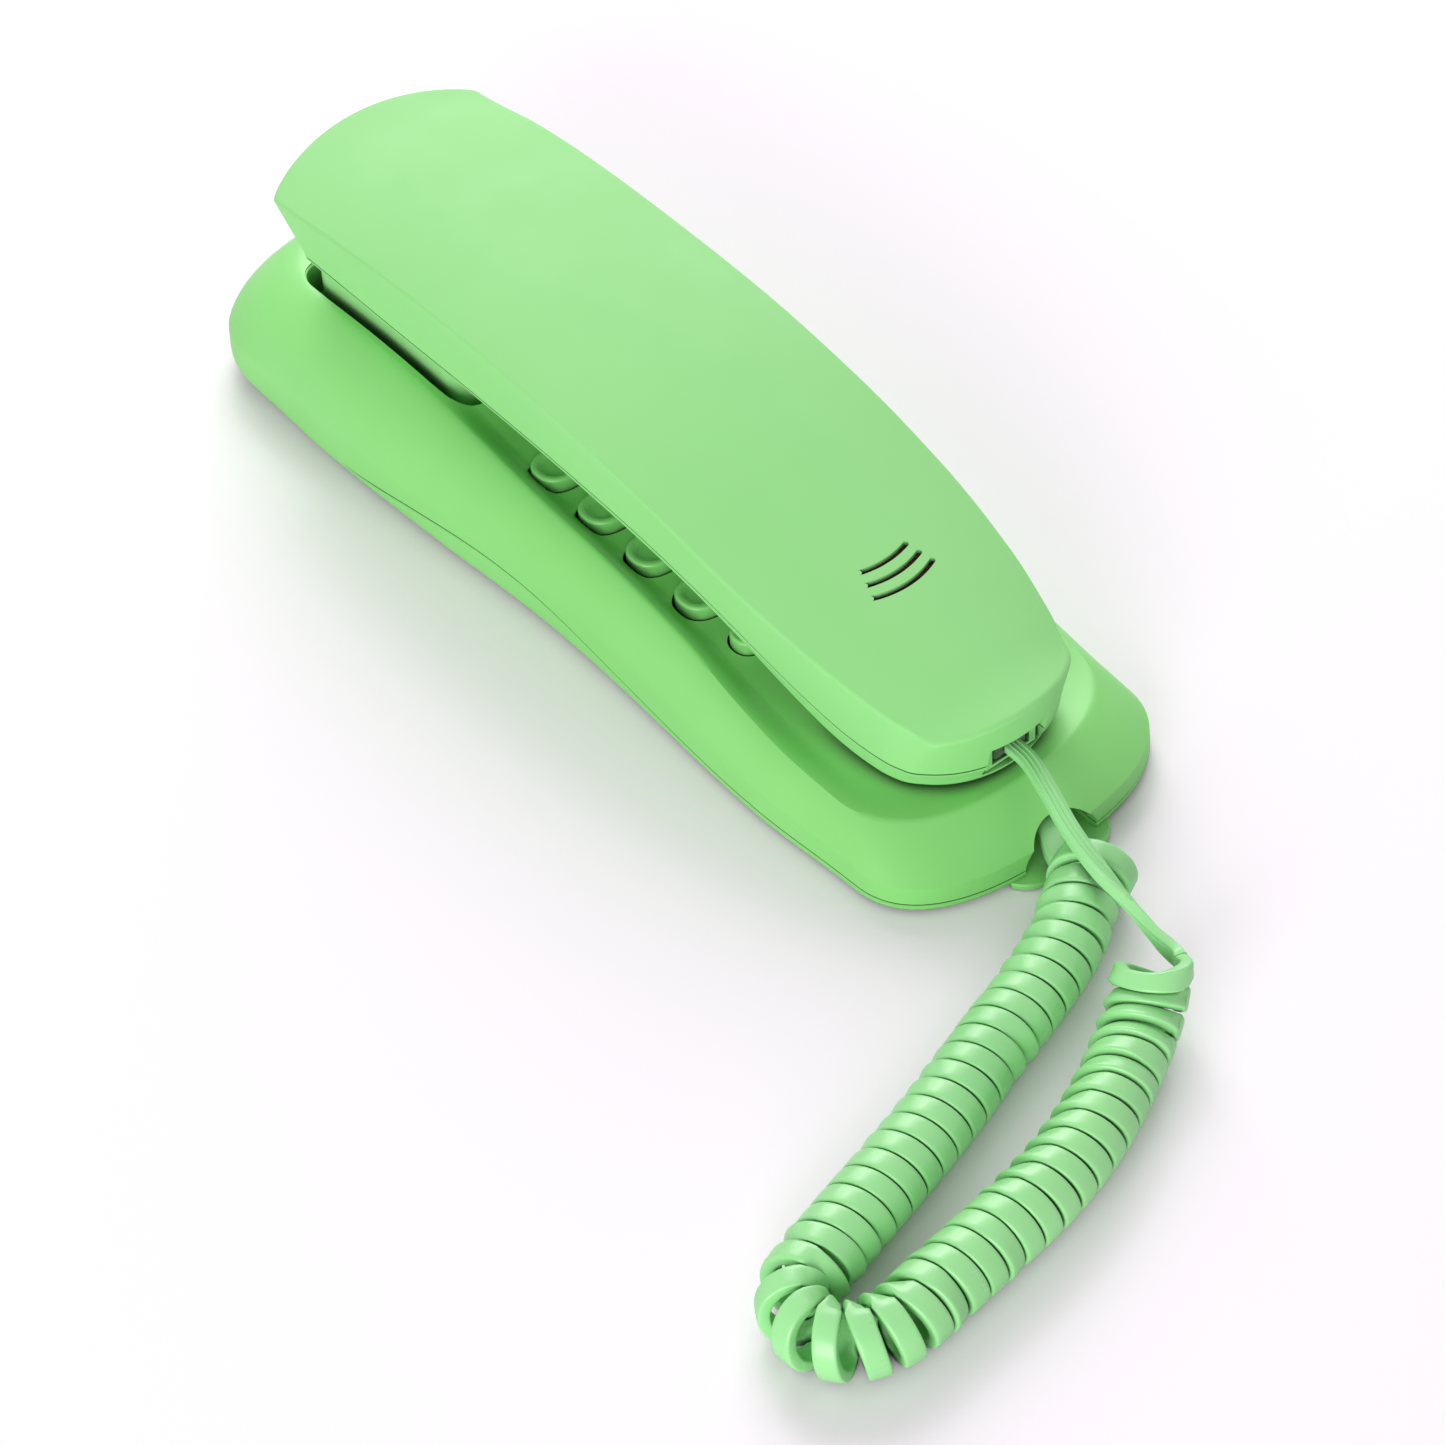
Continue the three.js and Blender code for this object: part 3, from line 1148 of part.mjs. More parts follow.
function buildHandset() {
  place('handset_outer_shell', handsetOuterShell(), HANDSET_GREEN);
  place('handset_inner_shell', handsetInnerShell(), HANDSET_GREEN);
  place('vent_cloth', ventCloth(), BROWN);
  place('receiver_capsule', receiver(), DARK);
  place('microphone_boot', micBoot(), RUBBER);
  place('microphone_capsule', microphone(), STEEL);
  place('ballast_weight', ballast(), STEEL);
  place('handset_jack', cordJack(HS_JACK_MOUTH_Y, hsJackZ()), GREEN);
  place('handset_plug', cordPlug(HS_JACK_MOUTH_Y, hsJackZ()), CLEAR);
  HS_SCREW_Y.forEach((y, i) => {
    place(`handset_screw_${i + 1}`, screw(HS_SCREW_L).translate([0, y, handsetScrewZ(y)]), STEEL);
  });
}

function buildCord() {
  place('cord_curls', curls(), CORD_GREEN);
  place('handset_lead', handsetLead(), CORD_GREEN);
  place('base_lead', baseLead(), CORD_GREEN);
}

buildBase();
buildKeys();
buildHandset();
buildCord();
const curlCount = (COIL.length / COIL_STEPS).toFixed(0);
console.log(`least gap between curls: ${leastCoilGap().toFixed(2)} mm over ${curlCount} curls`);

export default phone;
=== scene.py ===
# %% [markdown]
# # A slimline wall telephone
#
# The telephone is two long moulded housings and a coiled cord. The frame brings in the working
# solids at their real size and place; here each one gets its true surface. Shapes that the eye
# follows, such as the long curves of the housings, are lofted again from the same stations with
# many more points. Everything is in metres, and real sizes are written in millimetres times MM.

import math

import bmesh
import bpy
import numpy as np
from mathutils import Matrix, Vector


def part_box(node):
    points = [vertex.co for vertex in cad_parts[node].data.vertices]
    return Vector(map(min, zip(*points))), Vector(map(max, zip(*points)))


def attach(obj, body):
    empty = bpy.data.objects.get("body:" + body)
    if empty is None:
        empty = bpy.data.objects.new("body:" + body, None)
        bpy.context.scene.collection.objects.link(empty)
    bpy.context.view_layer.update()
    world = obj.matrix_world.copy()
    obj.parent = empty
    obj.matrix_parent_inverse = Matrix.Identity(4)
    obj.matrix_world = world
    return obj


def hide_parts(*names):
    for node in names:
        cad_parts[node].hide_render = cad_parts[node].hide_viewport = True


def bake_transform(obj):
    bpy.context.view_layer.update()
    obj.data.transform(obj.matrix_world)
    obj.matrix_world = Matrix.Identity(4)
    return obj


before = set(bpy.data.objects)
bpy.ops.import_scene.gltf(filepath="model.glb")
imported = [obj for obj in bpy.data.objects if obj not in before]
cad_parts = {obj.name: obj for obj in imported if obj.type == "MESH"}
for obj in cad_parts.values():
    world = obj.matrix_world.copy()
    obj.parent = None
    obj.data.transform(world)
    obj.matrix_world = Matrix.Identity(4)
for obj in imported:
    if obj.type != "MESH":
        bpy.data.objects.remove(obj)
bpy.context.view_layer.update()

MM = 0.001
GAP = 0.3 * MM  # play round a part that sits in another

# %% [markdown]
# ## The camera
#
# The picture was taken from over the lower left corner with a long lens. The pose was found by
# matching the outline of the two housings, and a lens is written as the focal length on a
# 36 mm wide sensor, so the same numbers hold at any picture size.

# %% Camera
CAMERA_AZIMUTH = math.radians(-38.03)
CAMERA_ELEVATION = math.radians(46.06)
CAMERA_ROLL = math.radians(-3.03)
CAMERA_PLACE = Vector((-342.5, -447.9, 540.4)) * MM
CAMERA_LENS, SENSOR_WIDTH = 109.2, 36


def placed(name, data):
    obj = bpy.data.objects.new(name, data)
    bpy.context.scene.collection.objects.link(obj)
    return obj


def camera_axes(azimuth, elevation, roll):
    level = math.cos(elevation)
    back = Vector((math.sin(azimuth) * level, -math.cos(azimuth) * level, math.sin(elevation)))
    right = Vector((math.cos(azimuth), math.sin(azimuth), 0))
    up = back.cross(right)
    x = right * math.cos(roll) + up * math.sin(roll)
    y = -right * math.sin(roll) + up * math.cos(roll)
    return Matrix((x, y, back)).transposed().to_4x4()


def add_camera():
    data = bpy.data.cameras.new("camera")
    data.sensor_width, data.lens = SENSOR_WIDTH, CAMERA_LENS
    camera = placed("camera", data)
    axes = camera_axes(CAMERA_AZIMUTH, CAMERA_ELEVATION, CAMERA_ROLL)
    camera.matrix_world = Matrix.Translation(CAMERA_PLACE) @ axes
    bpy.context.scene.camera = camera


add_camera()

# %% [markdown]
# ## Curves along the telephone
#
# A long housing is drawn as stations: its half width, its height and so on at a few places along
# its length. Between two stations the value follows a smooth cubic, so a handful of real sizes
# gives a surface with no kinks.

# %% Stations and outlines


def cubic(t, start, start_slope, end, end_slope):
    return (start * (2 * t**3 - 3 * t**2 + 1) + start_slope * (t**3 - 2 * t**2 + t)
            + end * (3 * t**2 - 2 * t**3) + end_slope * (t**3 - t**2))


def ease(t):
    """From 0 to 1, level at both ends."""
    return t * t * (3 - 2 * t)


def along(stations, y):
    """Smooth value in metres at y, from stations written in millimetres."""
    y = np.atleast_1d(np.asarray(y, float)) / MM
    place = np.array([s[0] for s in stations], float)
    value = np.array([s[1] for s in stations], float)
    slope = np.zeros(len(place))
    slope[1:-1] = (value[2:] - value[:-2]) / (place[2:] - place[:-2])
    q = np.clip(y, place[0], place[-1])
    i = np.clip(np.searchsorted(place, q, side="right") - 1, 0, len(place) - 2)
    span = place[i + 1] - place[i]
    t = (q - place[i]) / span
    return cubic(t, value[i], span * slope[i], value[i + 1], span * slope[i + 1]) * MM


ACROSS = np.sin(np.linspace(-math.pi / 2, math.pi / 2, 49))
LENGTHWISE = np.linspace(0, 1, 151)


def end_line(share, end):
    """How far an end reaches past its corner, at a share of the half width."""
    bulge = np.clip(1 - np.abs(share) ** end["power"], 0, 1) ** (1 / end["power"])
    return end["depth"] * MM * bulge + end["bow"] * MM * (1 - share**2)


class Plan:
    """A closed plan outline: sides that follow half(y), and a rounded, slightly bowed end at each end."""

    def __init__(self, low, top, half, low_end, top_end):
        self.half, self.low_end, self.top_end = half, low_end, top_end
        self.low = low + (low_end["bow"] + low_end["depth"]) * MM
        self.top = top - (top_end["bow"] + top_end["depth"]) * MM

    def points(self, share, t, z):
        """Points at a share of the half width and a share t along; z(y, share) is the height."""
        low = self.low - end_line(share, self.low_end)
        y = low + (self.top + end_line(share, self.top_end) - low) * t
        x = self.half(y) * share
        return np.column_stack([x, y, np.broadcast_to(z(y, share), x.shape)])

    def ring(self, z):
        """The outline as points, counterclockwise from above."""
        low = [(a, 0.0) for a in ACROSS]
        right = [(1.0, t) for t in LENGTHWISE[1:-1]]
        top = [(a, 1.0) for a in ACROSS[::-1]]
        left = [(-1.0, t) for t in LENGTHWISE[::-1][1:-1]]
        return self.points(*np.array(low + right + top + left).T, z)

    def sheet(self, z):
        """The whole inside of the outline as a grid of points."""
        share, t = np.meshgrid(ACROSS, LENGTHWISE)
        return self.points(share.ravel(), t.ravel(), z)


# %% [markdown]
# ## From outlines to meshes
#
# A housing is a stack of rings, joined ring to ring by quads and closed with a grid at each end.
# A hollow one turns over at its rim and comes back as an inner stack, so it stays one closed skin
# with a real wall. Holes are cut with Blender's exact boolean.

# %% Mesh helpers
WELD, SLIVER = 1e-6, 1e-7  # metres: points nearer than this are one, edges shorter than this go


def new_object(name, points, faces):
    mesh = bpy.data.meshes.new(name)
    mesh.from_pydata([tuple(p) for p in points], [], faces)
    mesh.validate()
    return placed(name, mesh)


def grid_faces(start, rows, columns, flip):
    faces = []
    for r in range(rows - 1):
        for c in range(columns - 1):
            a = start + r * columns + c
            quad = (a, a + 1, a + columns + 1, a + columns)
            faces.append(quad[::-1] if flip else quad)
    return faces


def weld(obj):
    bm = bmesh.new()
    bm.from_mesh(obj.data)
    bmesh.ops.remove_doubles(bm, verts=bm.verts, dist=WELD)
    bmesh.ops.dissolve_degenerate(bm, edges=bm.edges, dist=SLIVER)
    bmesh.ops.recalc_face_normals(bm, faces=bm.faces)
    bm.to_mesh(obj.data)
    bm.free()
    return obj


def housing(name, rings, open_after, *sheets):
    """One closed skin: quads from ring to ring and round to the first, except after one ring.

    There two sheets of points close it; each comes with whether it faces the other way.
    """
    count, total = len(rings[0]), len(rings)
    faces = []
    for k in range(total):
        if k == open_after % total:
            continue
        after = (k + 1) % total
        for i in range(count):
            j = (i + 1) % count
            faces.append((k * count + i, k * count + j, after * count + j, after * count + i))
    points = [p for ring in rings for p in ring]
    for sheet, flip in sheets:
        faces += grid_faces(len(points), len(LENGTHWISE), len(ACROSS), flip)
        points += list(sheet)
    return weld(new_object(name, points, faces))


def closed_skin(rings, name="tool"):
    """Small turned or lofted forms: rings of any equal count, each end closed by one point."""
    count = len(rings[0])
    points = [np.mean(rings[0], axis=0)] + [p for ring in rings for p in ring]
    points.append(np.mean(rings[-1], axis=0))
    last = len(points) - 1
    faces = [(0, 1 + (i + 1) % count, 1 + i) for i in range(count)]
    for k in range(len(rings) - 1):
        for i in range(count):
            a, b = 1 + k * count + i, 1 + k * count + (i + 1) % count
            faces.append((a, b, b + count, a + count))
    base = 1 + (len(rings) - 1) * count
    faces += [(base + i, base + (i + 1) % count, last) for i in range(count)]
    return weld(new_object(name, points, faces))


def prism(outline, low, high, lengthwise=False):
    """One outline: (x, y) from one height to another, or (x, z) from one place along y to another."""
    outline, rings = np.asarray(outline), []
    for level in (low, high):
        columns = [outline[:, 0], outline[:, 1]]
        columns.insert(1 if lengthwise else 2, np.full(len(outline), level))
        rings.append(np.column_stack(columns))
    return closed_skin(rings)


def bowed(start, bend, end, steps):
    """Points along a bowed line from start to end, without the start."""
    t = np.linspace(0, 1, steps + 1)[1:, None]
    line = (1 - t) ** 2 * np.array(start) + 2 * t * (1 - t) * np.array(bend) + t * t * np.array(end)
    return [tuple(point) for point in line]


def quarter(steps):
    """1 - cos and 1 - sin over a quarter turn: how far a round edge has run in and still has to go."""
    return [(1 - math.cos(math.pi / 2 * k / steps), 1 - math.sin(math.pi / 2 * k / steps))
            for k in range(steps + 1)]


def boolean(obj, *tools, operation="DIFFERENCE"):
    """Cuts a piece with each tool in turn, or unites it with them, and uses them up."""
    for tool in tools:
        modifier = obj.modifiers.new("cut", "BOOLEAN")
        modifier.operation = operation
        modifier.solver = "EXACT"
        modifier.object = tool
        evaluated = obj.evaluated_get(bpy.context.evaluated_depsgraph_get())
        mesh = bpy.data.meshes.new_from_object(evaluated)
        obj.modifiers.clear()
        obj.data = mesh
        bpy.data.objects.remove(tool)


def smooth(obj, angle=32, weighted=True):
    obj.data.polygons.foreach_set("use_smooth", [True] * len(obj.data.polygons))
    obj.data.set_sharp_from_angle(angle=math.radians(angle))
    if weighted:
        modifier = obj.modifiers.new("normals", "WEIGHTED_NORMAL")
        modifier.keep_sharp = True
        modifier.weight = 60
    return obj


def join(objects, name):
    """Several meshes as one object; they don't touch."""
    bm = bmesh.new()
    for obj in objects:
        bm.from_mesh(obj.data)
    mesh = bpy.data.meshes.new(name)
    bm.to_mesh(mesh)
    bm.free()
    for obj in objects:
        bpy.data.objects.remove(obj)
    return placed(name, mesh)


def raised(x, y, z):
    """Points at z, which is a height or a function of x and y."""
    return np.column_stack([x, y, z(x, y) if callable(z) else np.full(len(x), z)])


def superellipse(angle, power):
    return [np.sign(v) * np.abs(v) ** (2 / power) for v in (np.cos(angle), np.sin(angle))]


def oval(half_x, half_y, centre, z, sides=48, power=2.0):
    """A ring on a superellipse."""
    x, y = superellipse(np.linspace(0, 2 * math.pi, sides, endpoint=False), power)
    return raised(centre[0] + half_x * x, centre[1] + half_y * y, z)


def rounded(half_x, half_y, corner, centre, z, steps=8):
    """A ring on a rectangle with round corners."""
    points = []
    for side, (sx, sy) in enumerate(((1, -1), (1, 1), (-1, 1), (-1, -1))):
        for k in range(steps + 1):
            angle = -math.pi / 2 + side * math.pi / 2 + k / steps * math.pi / 2
            x = sx * (half_x - corner) + corner * math.cos(angle)
            y = sy * (half_y - corner) + corner * math.sin(angle)
            points.append((centre[0] + x, centre[1] + y))
    return raised(*np.array(points).T, z)


def block(low, high):
    x0, y0, z0 = low
    x1, y1, z1 = high
    return prism([(x0, y0), (x1, y0), (x1, y1), (x0, y1)], z0, z1)


def turned(profile, centre, sides=40):
    """A turned piece: profile is (radius, height) pairs in millimetres, up the axis."""
    return closed_skin([oval(radius * MM, radius * MM, (0, 0), height * MM, sides) + np.array(centre)
                        for radius, height in profile])


print("helpers ready")

# %% [markdown]
# ## The base, upper shell
#
# One bright moulding carries the keypad tray, the round-cornered well for the earpiece and the
# arch that the cord leaves by. Its wall stands upright from the parting line, turns over in a
# shoulder that is crisp at the cord end and soft along the sides, crests in a ridge and then
# falls into the tray. The stations are those of the working solid, and the round under the foot
# is added to them.

# %% Base stations
BASE_LOW, BASE_TOP = -99.4 * MM, 103 * MM
RIDGE_LOW, RIDGE_TOP = -89.8 * MM, 93 * MM
BASE_HALF = [[-84, 31], [-58, 32.1], [-20, 30.6], [2, 30.5], [32, 32.4], [60, 33.3], [82, 32.6]]
EDGE_Z = [[-100, 6], [-60, 7], [0, 9.5], [60, 10.5], [103, 10]]
RIDGE_HALF = [[-84, 26.6], [-72, 26.8], [-60, 27], [-46, 26], [-31, 24.2], [-8, 22.8], [12, 22.4],
              [46, 20.8], [88, 20.4]]
RIDGE_Z = [[-92, 12.2], [-76, 12.4], [-61, 13.6], [-46, 15.2], [-30, 17], [0, 19.2], [30, 21.2],
           [60, 22.6], [94, 21.6]]
TRAY_DEPTH = [[-90, 0.4], [-72, 0.6], [-56, 1.6], [-42, 2.8], [-20, 3.4], [26, 3.2], [42, 1.2], [70, 0.4]]
TRAY_BANK = 5.5 * MM
STRAIGHTNESS = [[-100, 0.9], [-80, 0.8], [-50, 0.45], [0, 0.35], [103, 0.35]]
DRAFT = 0.2 * MM
FOOT = [[-100, 2], [-55, 2], [-10, 3.6], [40, 5], [103, 5.4]]
BASE_WALL = 2.2 * MM
SEAM = 0.3 * MM  # width of the parting line
SEAM_ROUND = 0.15 * MM
BASE_LOW_END = {"depth": 16.5, "bow": 1.5, "power": 2.6}
BASE_TOP_END = {"depth": 22, "bow": 1.5, "power": 3.3}


def parting_z(y):
    return 2.4 * MM + 5.6 * MM * np.exp(-(((y - 16 * MM) / (34 * MM)) ** 2))


def tray_z(y):
    return along(RIDGE_Z, y) - along(TRAY_DEPTH, y)


def sloped(y, t, curved):
    """Share of the way from a round shoulder to a straight slope, which differs along the base."""
    return curved + (t - curved) * along(STRAIGHTNESS, y) / MM


def foot_draw(y, z):
    """How far the wall is drawn in at a height, where it rounds under towards the foot."""
    foot = along(FOOT, y)
    return foot * (1 - np.sqrt(1 - np.clip(1 - z / foot, 0, 1) ** 2))


def base_plan(to_ridge, inward):
    """The base outline, moved the share to_ridge(y) of the way to the ridge line and drawn in."""
    drawn = inward if callable(inward) else lambda y: inward
    at_end = lambda rule, y: float(np.ravel(rule(y))[0])

    def half(y):
        outer = along(BASE_HALF, y)
        return outer - (outer - along(RIDGE_HALF, y)) * to_ridge(y) - drawn(y)

    low = BASE_LOW + (RIDGE_LOW - BASE_LOW) * at_end(to_ridge, BASE_LOW) + at_end(drawn, BASE_LOW)
    top = BASE_TOP + (RIDGE_TOP - BASE_TOP) * at_end(to_ridge, BASE_TOP) - at_end(drawn, BASE_TOP)
    return Plan(low, top, half, BASE_LOW_END, BASE_TOP_END)


def wall_plan(inward):
    return base_plan(lambda y: 0.0, inward)


def wall_ring(level, inward=0.0):
    """The wall's outline at the height level(y), with the round of the foot."""
    return wall_plan(lambda y: foot_draw(y, level(y)) + inward).ring(lambda y, a: level(y))


def ridge_plan(inward):
    return base_plan(lambda y: 1.0, inward)


def shoulder(t, inset):
    """The ring at t from the wall's top (0) to the ridge (1); inset follows the inner face."""
    angle = math.pi / 2 * t
    plan = base_plan(lambda y: sloped(y, t, 1 - math.cos(angle)), DRAFT + inset * math.cos(angle))
    return plan.ring(lambda y, a: along(EDGE_Z, y) + (along(RIDGE_Z, y) - along(EDGE_Z, y))
                     * sloped(y, t, math.sin(angle)) - inset * math.sin(angle))


def bank(share):
    """The ring at a share of the way down from the ridge to the tray."""
    return ridge_plan(DRAFT + TRAY_BANK * share).ring(
        lambda y, a: along(RIDGE_Z, y) - along(TRAY_DEPTH, y) * ease(share))


print("tray floor at the first key row:", np.round(tray_z(15.6 * MM) / MM, 2), "mm")

# %% Base upper shell
WELL = {"half_x": 18.6, "low": 36.5, "top": 86, "corner": 5, "floor": 13.5, "wall": 1.8, "foot": 11.6}
WELL_SINK = 0.9 * MM  # how far the block round the well stays below the surface
CEILING_SHARE = 0.9  # how far the inside of the shell runs flat towards the ridge line


def base_top_blank():
    wall_foot = lambda y: parting_z(y) + SEAM / 2 + SEAM_ROUND
    wall_top = lambda y, a: along(EDGE_Z, y)
    under_tray = lambda y, a: tray_z(y) - BASE_WALL
    rings = [wall_ring(lambda y: parting_z(y) + SEAM / 2, SEAM_ROUND)]
    for k in (0, 0.07, 0.15, 0.25, 0.4, 0.6, 0.8):
        rings.append(wall_ring(lambda y: wall_foot(y) + (along(EDGE_Z, y) - wall_foot(y)) * k, DRAFT * k))
    rings.append(wall_plan(DRAFT).ring(wall_top))
    rings += [shoulder(t, 0) for t in np.linspace(0, 1, 17)[1:]]
    rings += [bank(s) for s in np.linspace(0, 1, 11)[1:]]
    outside = len(rings)
    ceiling = base_plan(lambda y: CEILING_SHARE, BASE_WALL)
    rings.append(ceiling.ring(under_tray))
    rings += [shoulder(t, BASE_WALL) for t in (0.55, 0.36, 0.14)]
    rings.append(wall_plan(BASE_WALL + DRAFT).ring(wall_top))
    rings.append(wall_plan(BASE_WALL).ring(lambda y, a: parting_z(y) + SEAM / 2))
    tray = ridge_plan(DRAFT + TRAY_BANK).sheet(lambda y, a: tray_z(y))
    return housing("base_top", rings, outside - 1, (tray, False), (ceiling.sheet(under_tray), True))


# %% [markdown]
# ### Openings in the upper shell
#
# A moulded hole never has a knife edge: the tool leaves a small round where it meets the surface,
# and that round catches the light. So each cutter flares a little just at the surface, and the
# flare follows the height of the tray, which falls towards the cord end.

# %% Keys, well and ports
KEY_PITCH_X, KEY_PITCH_Y = 13 * MM, 13.1 * MM
KEY_TOP_ROW = 15.6 * MM
KEY_HALF_X, KEY_HALF_Y = 5.5 * MM, 4.4 * MM
KEY_CLEARANCE = 0.4 * MM
KEY_POWER, KEY_SIDES = 2.3, 56
HOLE_FOOT, HOLE_TOP = 5 * MM, 0.8 * MM  # a key hole is cut from this height to this far over the tray
SMALL_KEY, SMALL_ROW_DROP = 0.72, 12.3 * MM
RIM_ROUND = 0.12 * MM
RIM_LIFT = 0.03 * MM  # keeps the cutter's rim off the tray's own surface, where cuts fail
KEY_NAMES = ["key_" + mark for mark in (*"123456789", "star", "0", "hash")]
KEY_NAMES += ["function_key_" + place for place in ("left", "middle", "right")]
NOTCH_CUT, END_CUT = (-105.4 * MM, -85.4 * MM), (91 * MM, 105 * MM)  # along y, through each end wall
END_PORTS = ((-13.3, 5.15, 3.15, 10.25), (21, 4.2, 4.9, 7.9))  # middle, half width, low and high, in mm
HOOK_Y, HOOK_HALF, HOOK_CUT = 51.5 * MM, 2.95 * MM, (5 * MM, 13.6 * MM)


def key_places():
    places = {}
    for index, name in enumerate(KEY_NAMES):
        row, column = divmod(index, 3)
        small = row == 4
        y = KEY_TOP_ROW - (3 * KEY_PITCH_Y + SMALL_ROW_DROP if small else row * KEY_PITCH_Y)
        places[name] = ((column - 1) * KEY_PITCH_X, y, SMALL_KEY if small else 1.0)
    return places


KEYS = key_places()


def tray_height(offset):
    return lambda x, y: tray_z(y) + offset


def key_hole_cutter(x, y, scale):
    a, b = KEY_HALF_X * scale + KEY_CLEARANCE, KEY_HALF_Y * scale + KEY_CLEARANCE
    path = lambda flare, z: oval(a + flare, b + flare, (x, y), z, KEY_SIDES, KEY_POWER)
    rings = [path(0, HOLE_FOOT)]
    for flare, drop in quarter(4):
        rings.append(path(RIM_ROUND * flare, tray_height(RIM_ROUND * -drop + RIM_LIFT)))
    rings.append(path(RIM_ROUND * 1.6, tray_height(HOLE_TOP)))
    return closed_skin(rings)


def surface_height(x, y):
    """Height of the ridge, bank and tray at any place inside the ridge line."""
    share = np.clip((along(RIDGE_HALF, y) - DRAFT - np.abs(x)) / TRAY_BANK, 0, 1)
    return along(RIDGE_Z, y) - along(TRAY_DEPTH, y) * ease(share)


def well_path(grow, z):
    half_y = (WELL["top"] - WELL["low"]) / 2 * MM + grow
    centre = (0, (WELL["top"] + WELL["low"]) / 2 * MM)
    return rounded(WELL["half_x"] * MM + grow, half_y, WELL["corner"] * MM + grow, centre, z, 10)


def well_cutter():
    rim, foot = 0.35 * MM, 1.0 * MM
    floor = WELL["floor"] * MM
    rings = [well_path(-foot * inward, floor + foot * rise) for rise, inward in quarter(4)]
    for flare, drop in quarter(5):
        rings.append(well_path(rim * flare, lambda x, y: surface_height(x, y) - rim * drop))
    rings.append(well_path(rim * 1.5, lambda x, y: surface_height(x, y) + 2 * MM))
    return closed_skin(rings)


def notch_cutter():
    """The arch over the cord, cut through the wall at the cord end."""
    half, foot, top = 8 * MM, 1.3 * MM, 8.2 * MM
    side = foot + 2 * MM
    arch = [(-half, foot), (half, foot), (half, side)]
    arch += bowed((half, side), (0.75 * half, top), (0, top), 12)
    arch += bowed((0, top), (-0.75 * half, top), (-half, side), 12)
    return prism(arch, *NOTCH_CUT, lengthwise=True)


def end_ports():
    """Openings in the wall at the earpiece end: the line socket and the ringer switch."""
    return [block((x * MM - half * MM, END_CUT[0], low * MM), (x * MM + half * MM, END_CUT[1], high * MM))
            for x, half, low, high in END_PORTS]


def make_base_top():
    obj = base_top_blank()
    wall = WELL["wall"] * MM
    under_surface = lambda x, y: surface_height(x, y) - WELL_SINK
    well = closed_skin([well_path(wall, WELL["foot"] * MM), well_path(wall, under_surface)])
    boolean(obj, well, operation="UNION")
    hook = block((-HOOK_HALF, HOOK_Y - HOOK_HALF, HOOK_CUT[0]),
                 (HOOK_HALF, HOOK_Y + HOOK_HALF, HOOK_CUT[1]))
    # one cut for all the keys: cut one by one, some holes stayed closed
    keys = join([key_hole_cutter(*place) for place in KEYS.values()], "tool")
    boolean(obj, keys, well_cutter(), notch_cutter(), *end_ports(), hook)
    return smooth(obj)


base_top = make_base_top()
print("upper shell:", len(base_top.data.polygons), "faces")

# %% [markdown]
# ## The base, back shell
#
# The back is a shallow tray with a flat face that lies on the wall. It has two keyholes for wall
# screws, slots for the sounder, four sunk screw holes and the small lip under the cord's arch.
# Its outline is that of the upper shell, and it stops at the parting line.

# %% Base back shell
BASE_SCREWS = [(-22, -74), (22, -74), (-24.5, 70), (24.5, 70)]
SCREW_SINK, SCREW_HEAD_H, HEAD_HOLE_R, SHANK_HOLE_R, BOSS_R = 0.5, 1.6, 3.0, 1.65, 4.2
SOUNDER_Y, SOUNDER_R = 72 * MM, 8.6 * MM
SOUNDER_SLOTS, SOUNDER_PITCH, SOUNDER_SLOT = 5, 3.4 * MM, 1.4 * MM
BACK_CUT = (-1 * MM, 3.2 * MM)  # from below the back to inside it
KEYHOLES = (-68 * MM, 92 * MM)


def keyhole_cutter(y):
    head, slot, rise = 4.2 * MM, 2.1 * MM, 6 * MM
    neck = math.asin(slot / head)
    outline = []
    for angle in np.linspace(math.pi / 2 + neck, 2.5 * math.pi - neck, 33):
        outline.append((head * math.cos(angle), y + head * math.sin(angle)))
    for angle in np.linspace(0, math.pi, 17):
        outline.append((slot * math.cos(angle), y + rise + slot * math.sin(angle)))
    return prism(outline, *BACK_CUT)


def slot_cutter(y, half, width):
    """A straight slot across the back, with round ends."""
    return prism(rounded(half, width / 2, width / 2 - 1e-6, (0, y), 0, 5), *BACK_CUT)


def lip():
    """The small tongue of the back shell that reaches out under the cord."""
    half, reach, thick = 11 * MM, 3 * MM, 1.3 * MM
    low = BASE_LOW
    root, foot, tip = low + 8 * MM, low + 0.5 * MM, low - reach
    edge = [(-half, root), (-half, foot)]
    edge += bowed((-half, foot), (-0.8 * half, tip), (-0.5 * half, tip), 8) + [(0.5 * half, tip)]
    edge += bowed((0.5 * half, tip), (0.8 * half, tip), (half, foot), 8) + [(half, root)]
    edge = np.array(edge)
    middle = np.array([0, low + 4 * MM])
    rings = []
    for shrink, z in ((0.4 * MM, 0), (0, 0.3 * MM), (0, thick - 0.3 * MM), (0.3 * MM, thick)):
        away = edge - middle
        away /= np.linalg.norm(away, axis=1)[:, None]
        rings.append(np.column_stack([edge - away * shrink, np.full(len(edge), z)]))
    return closed_skin(rings)


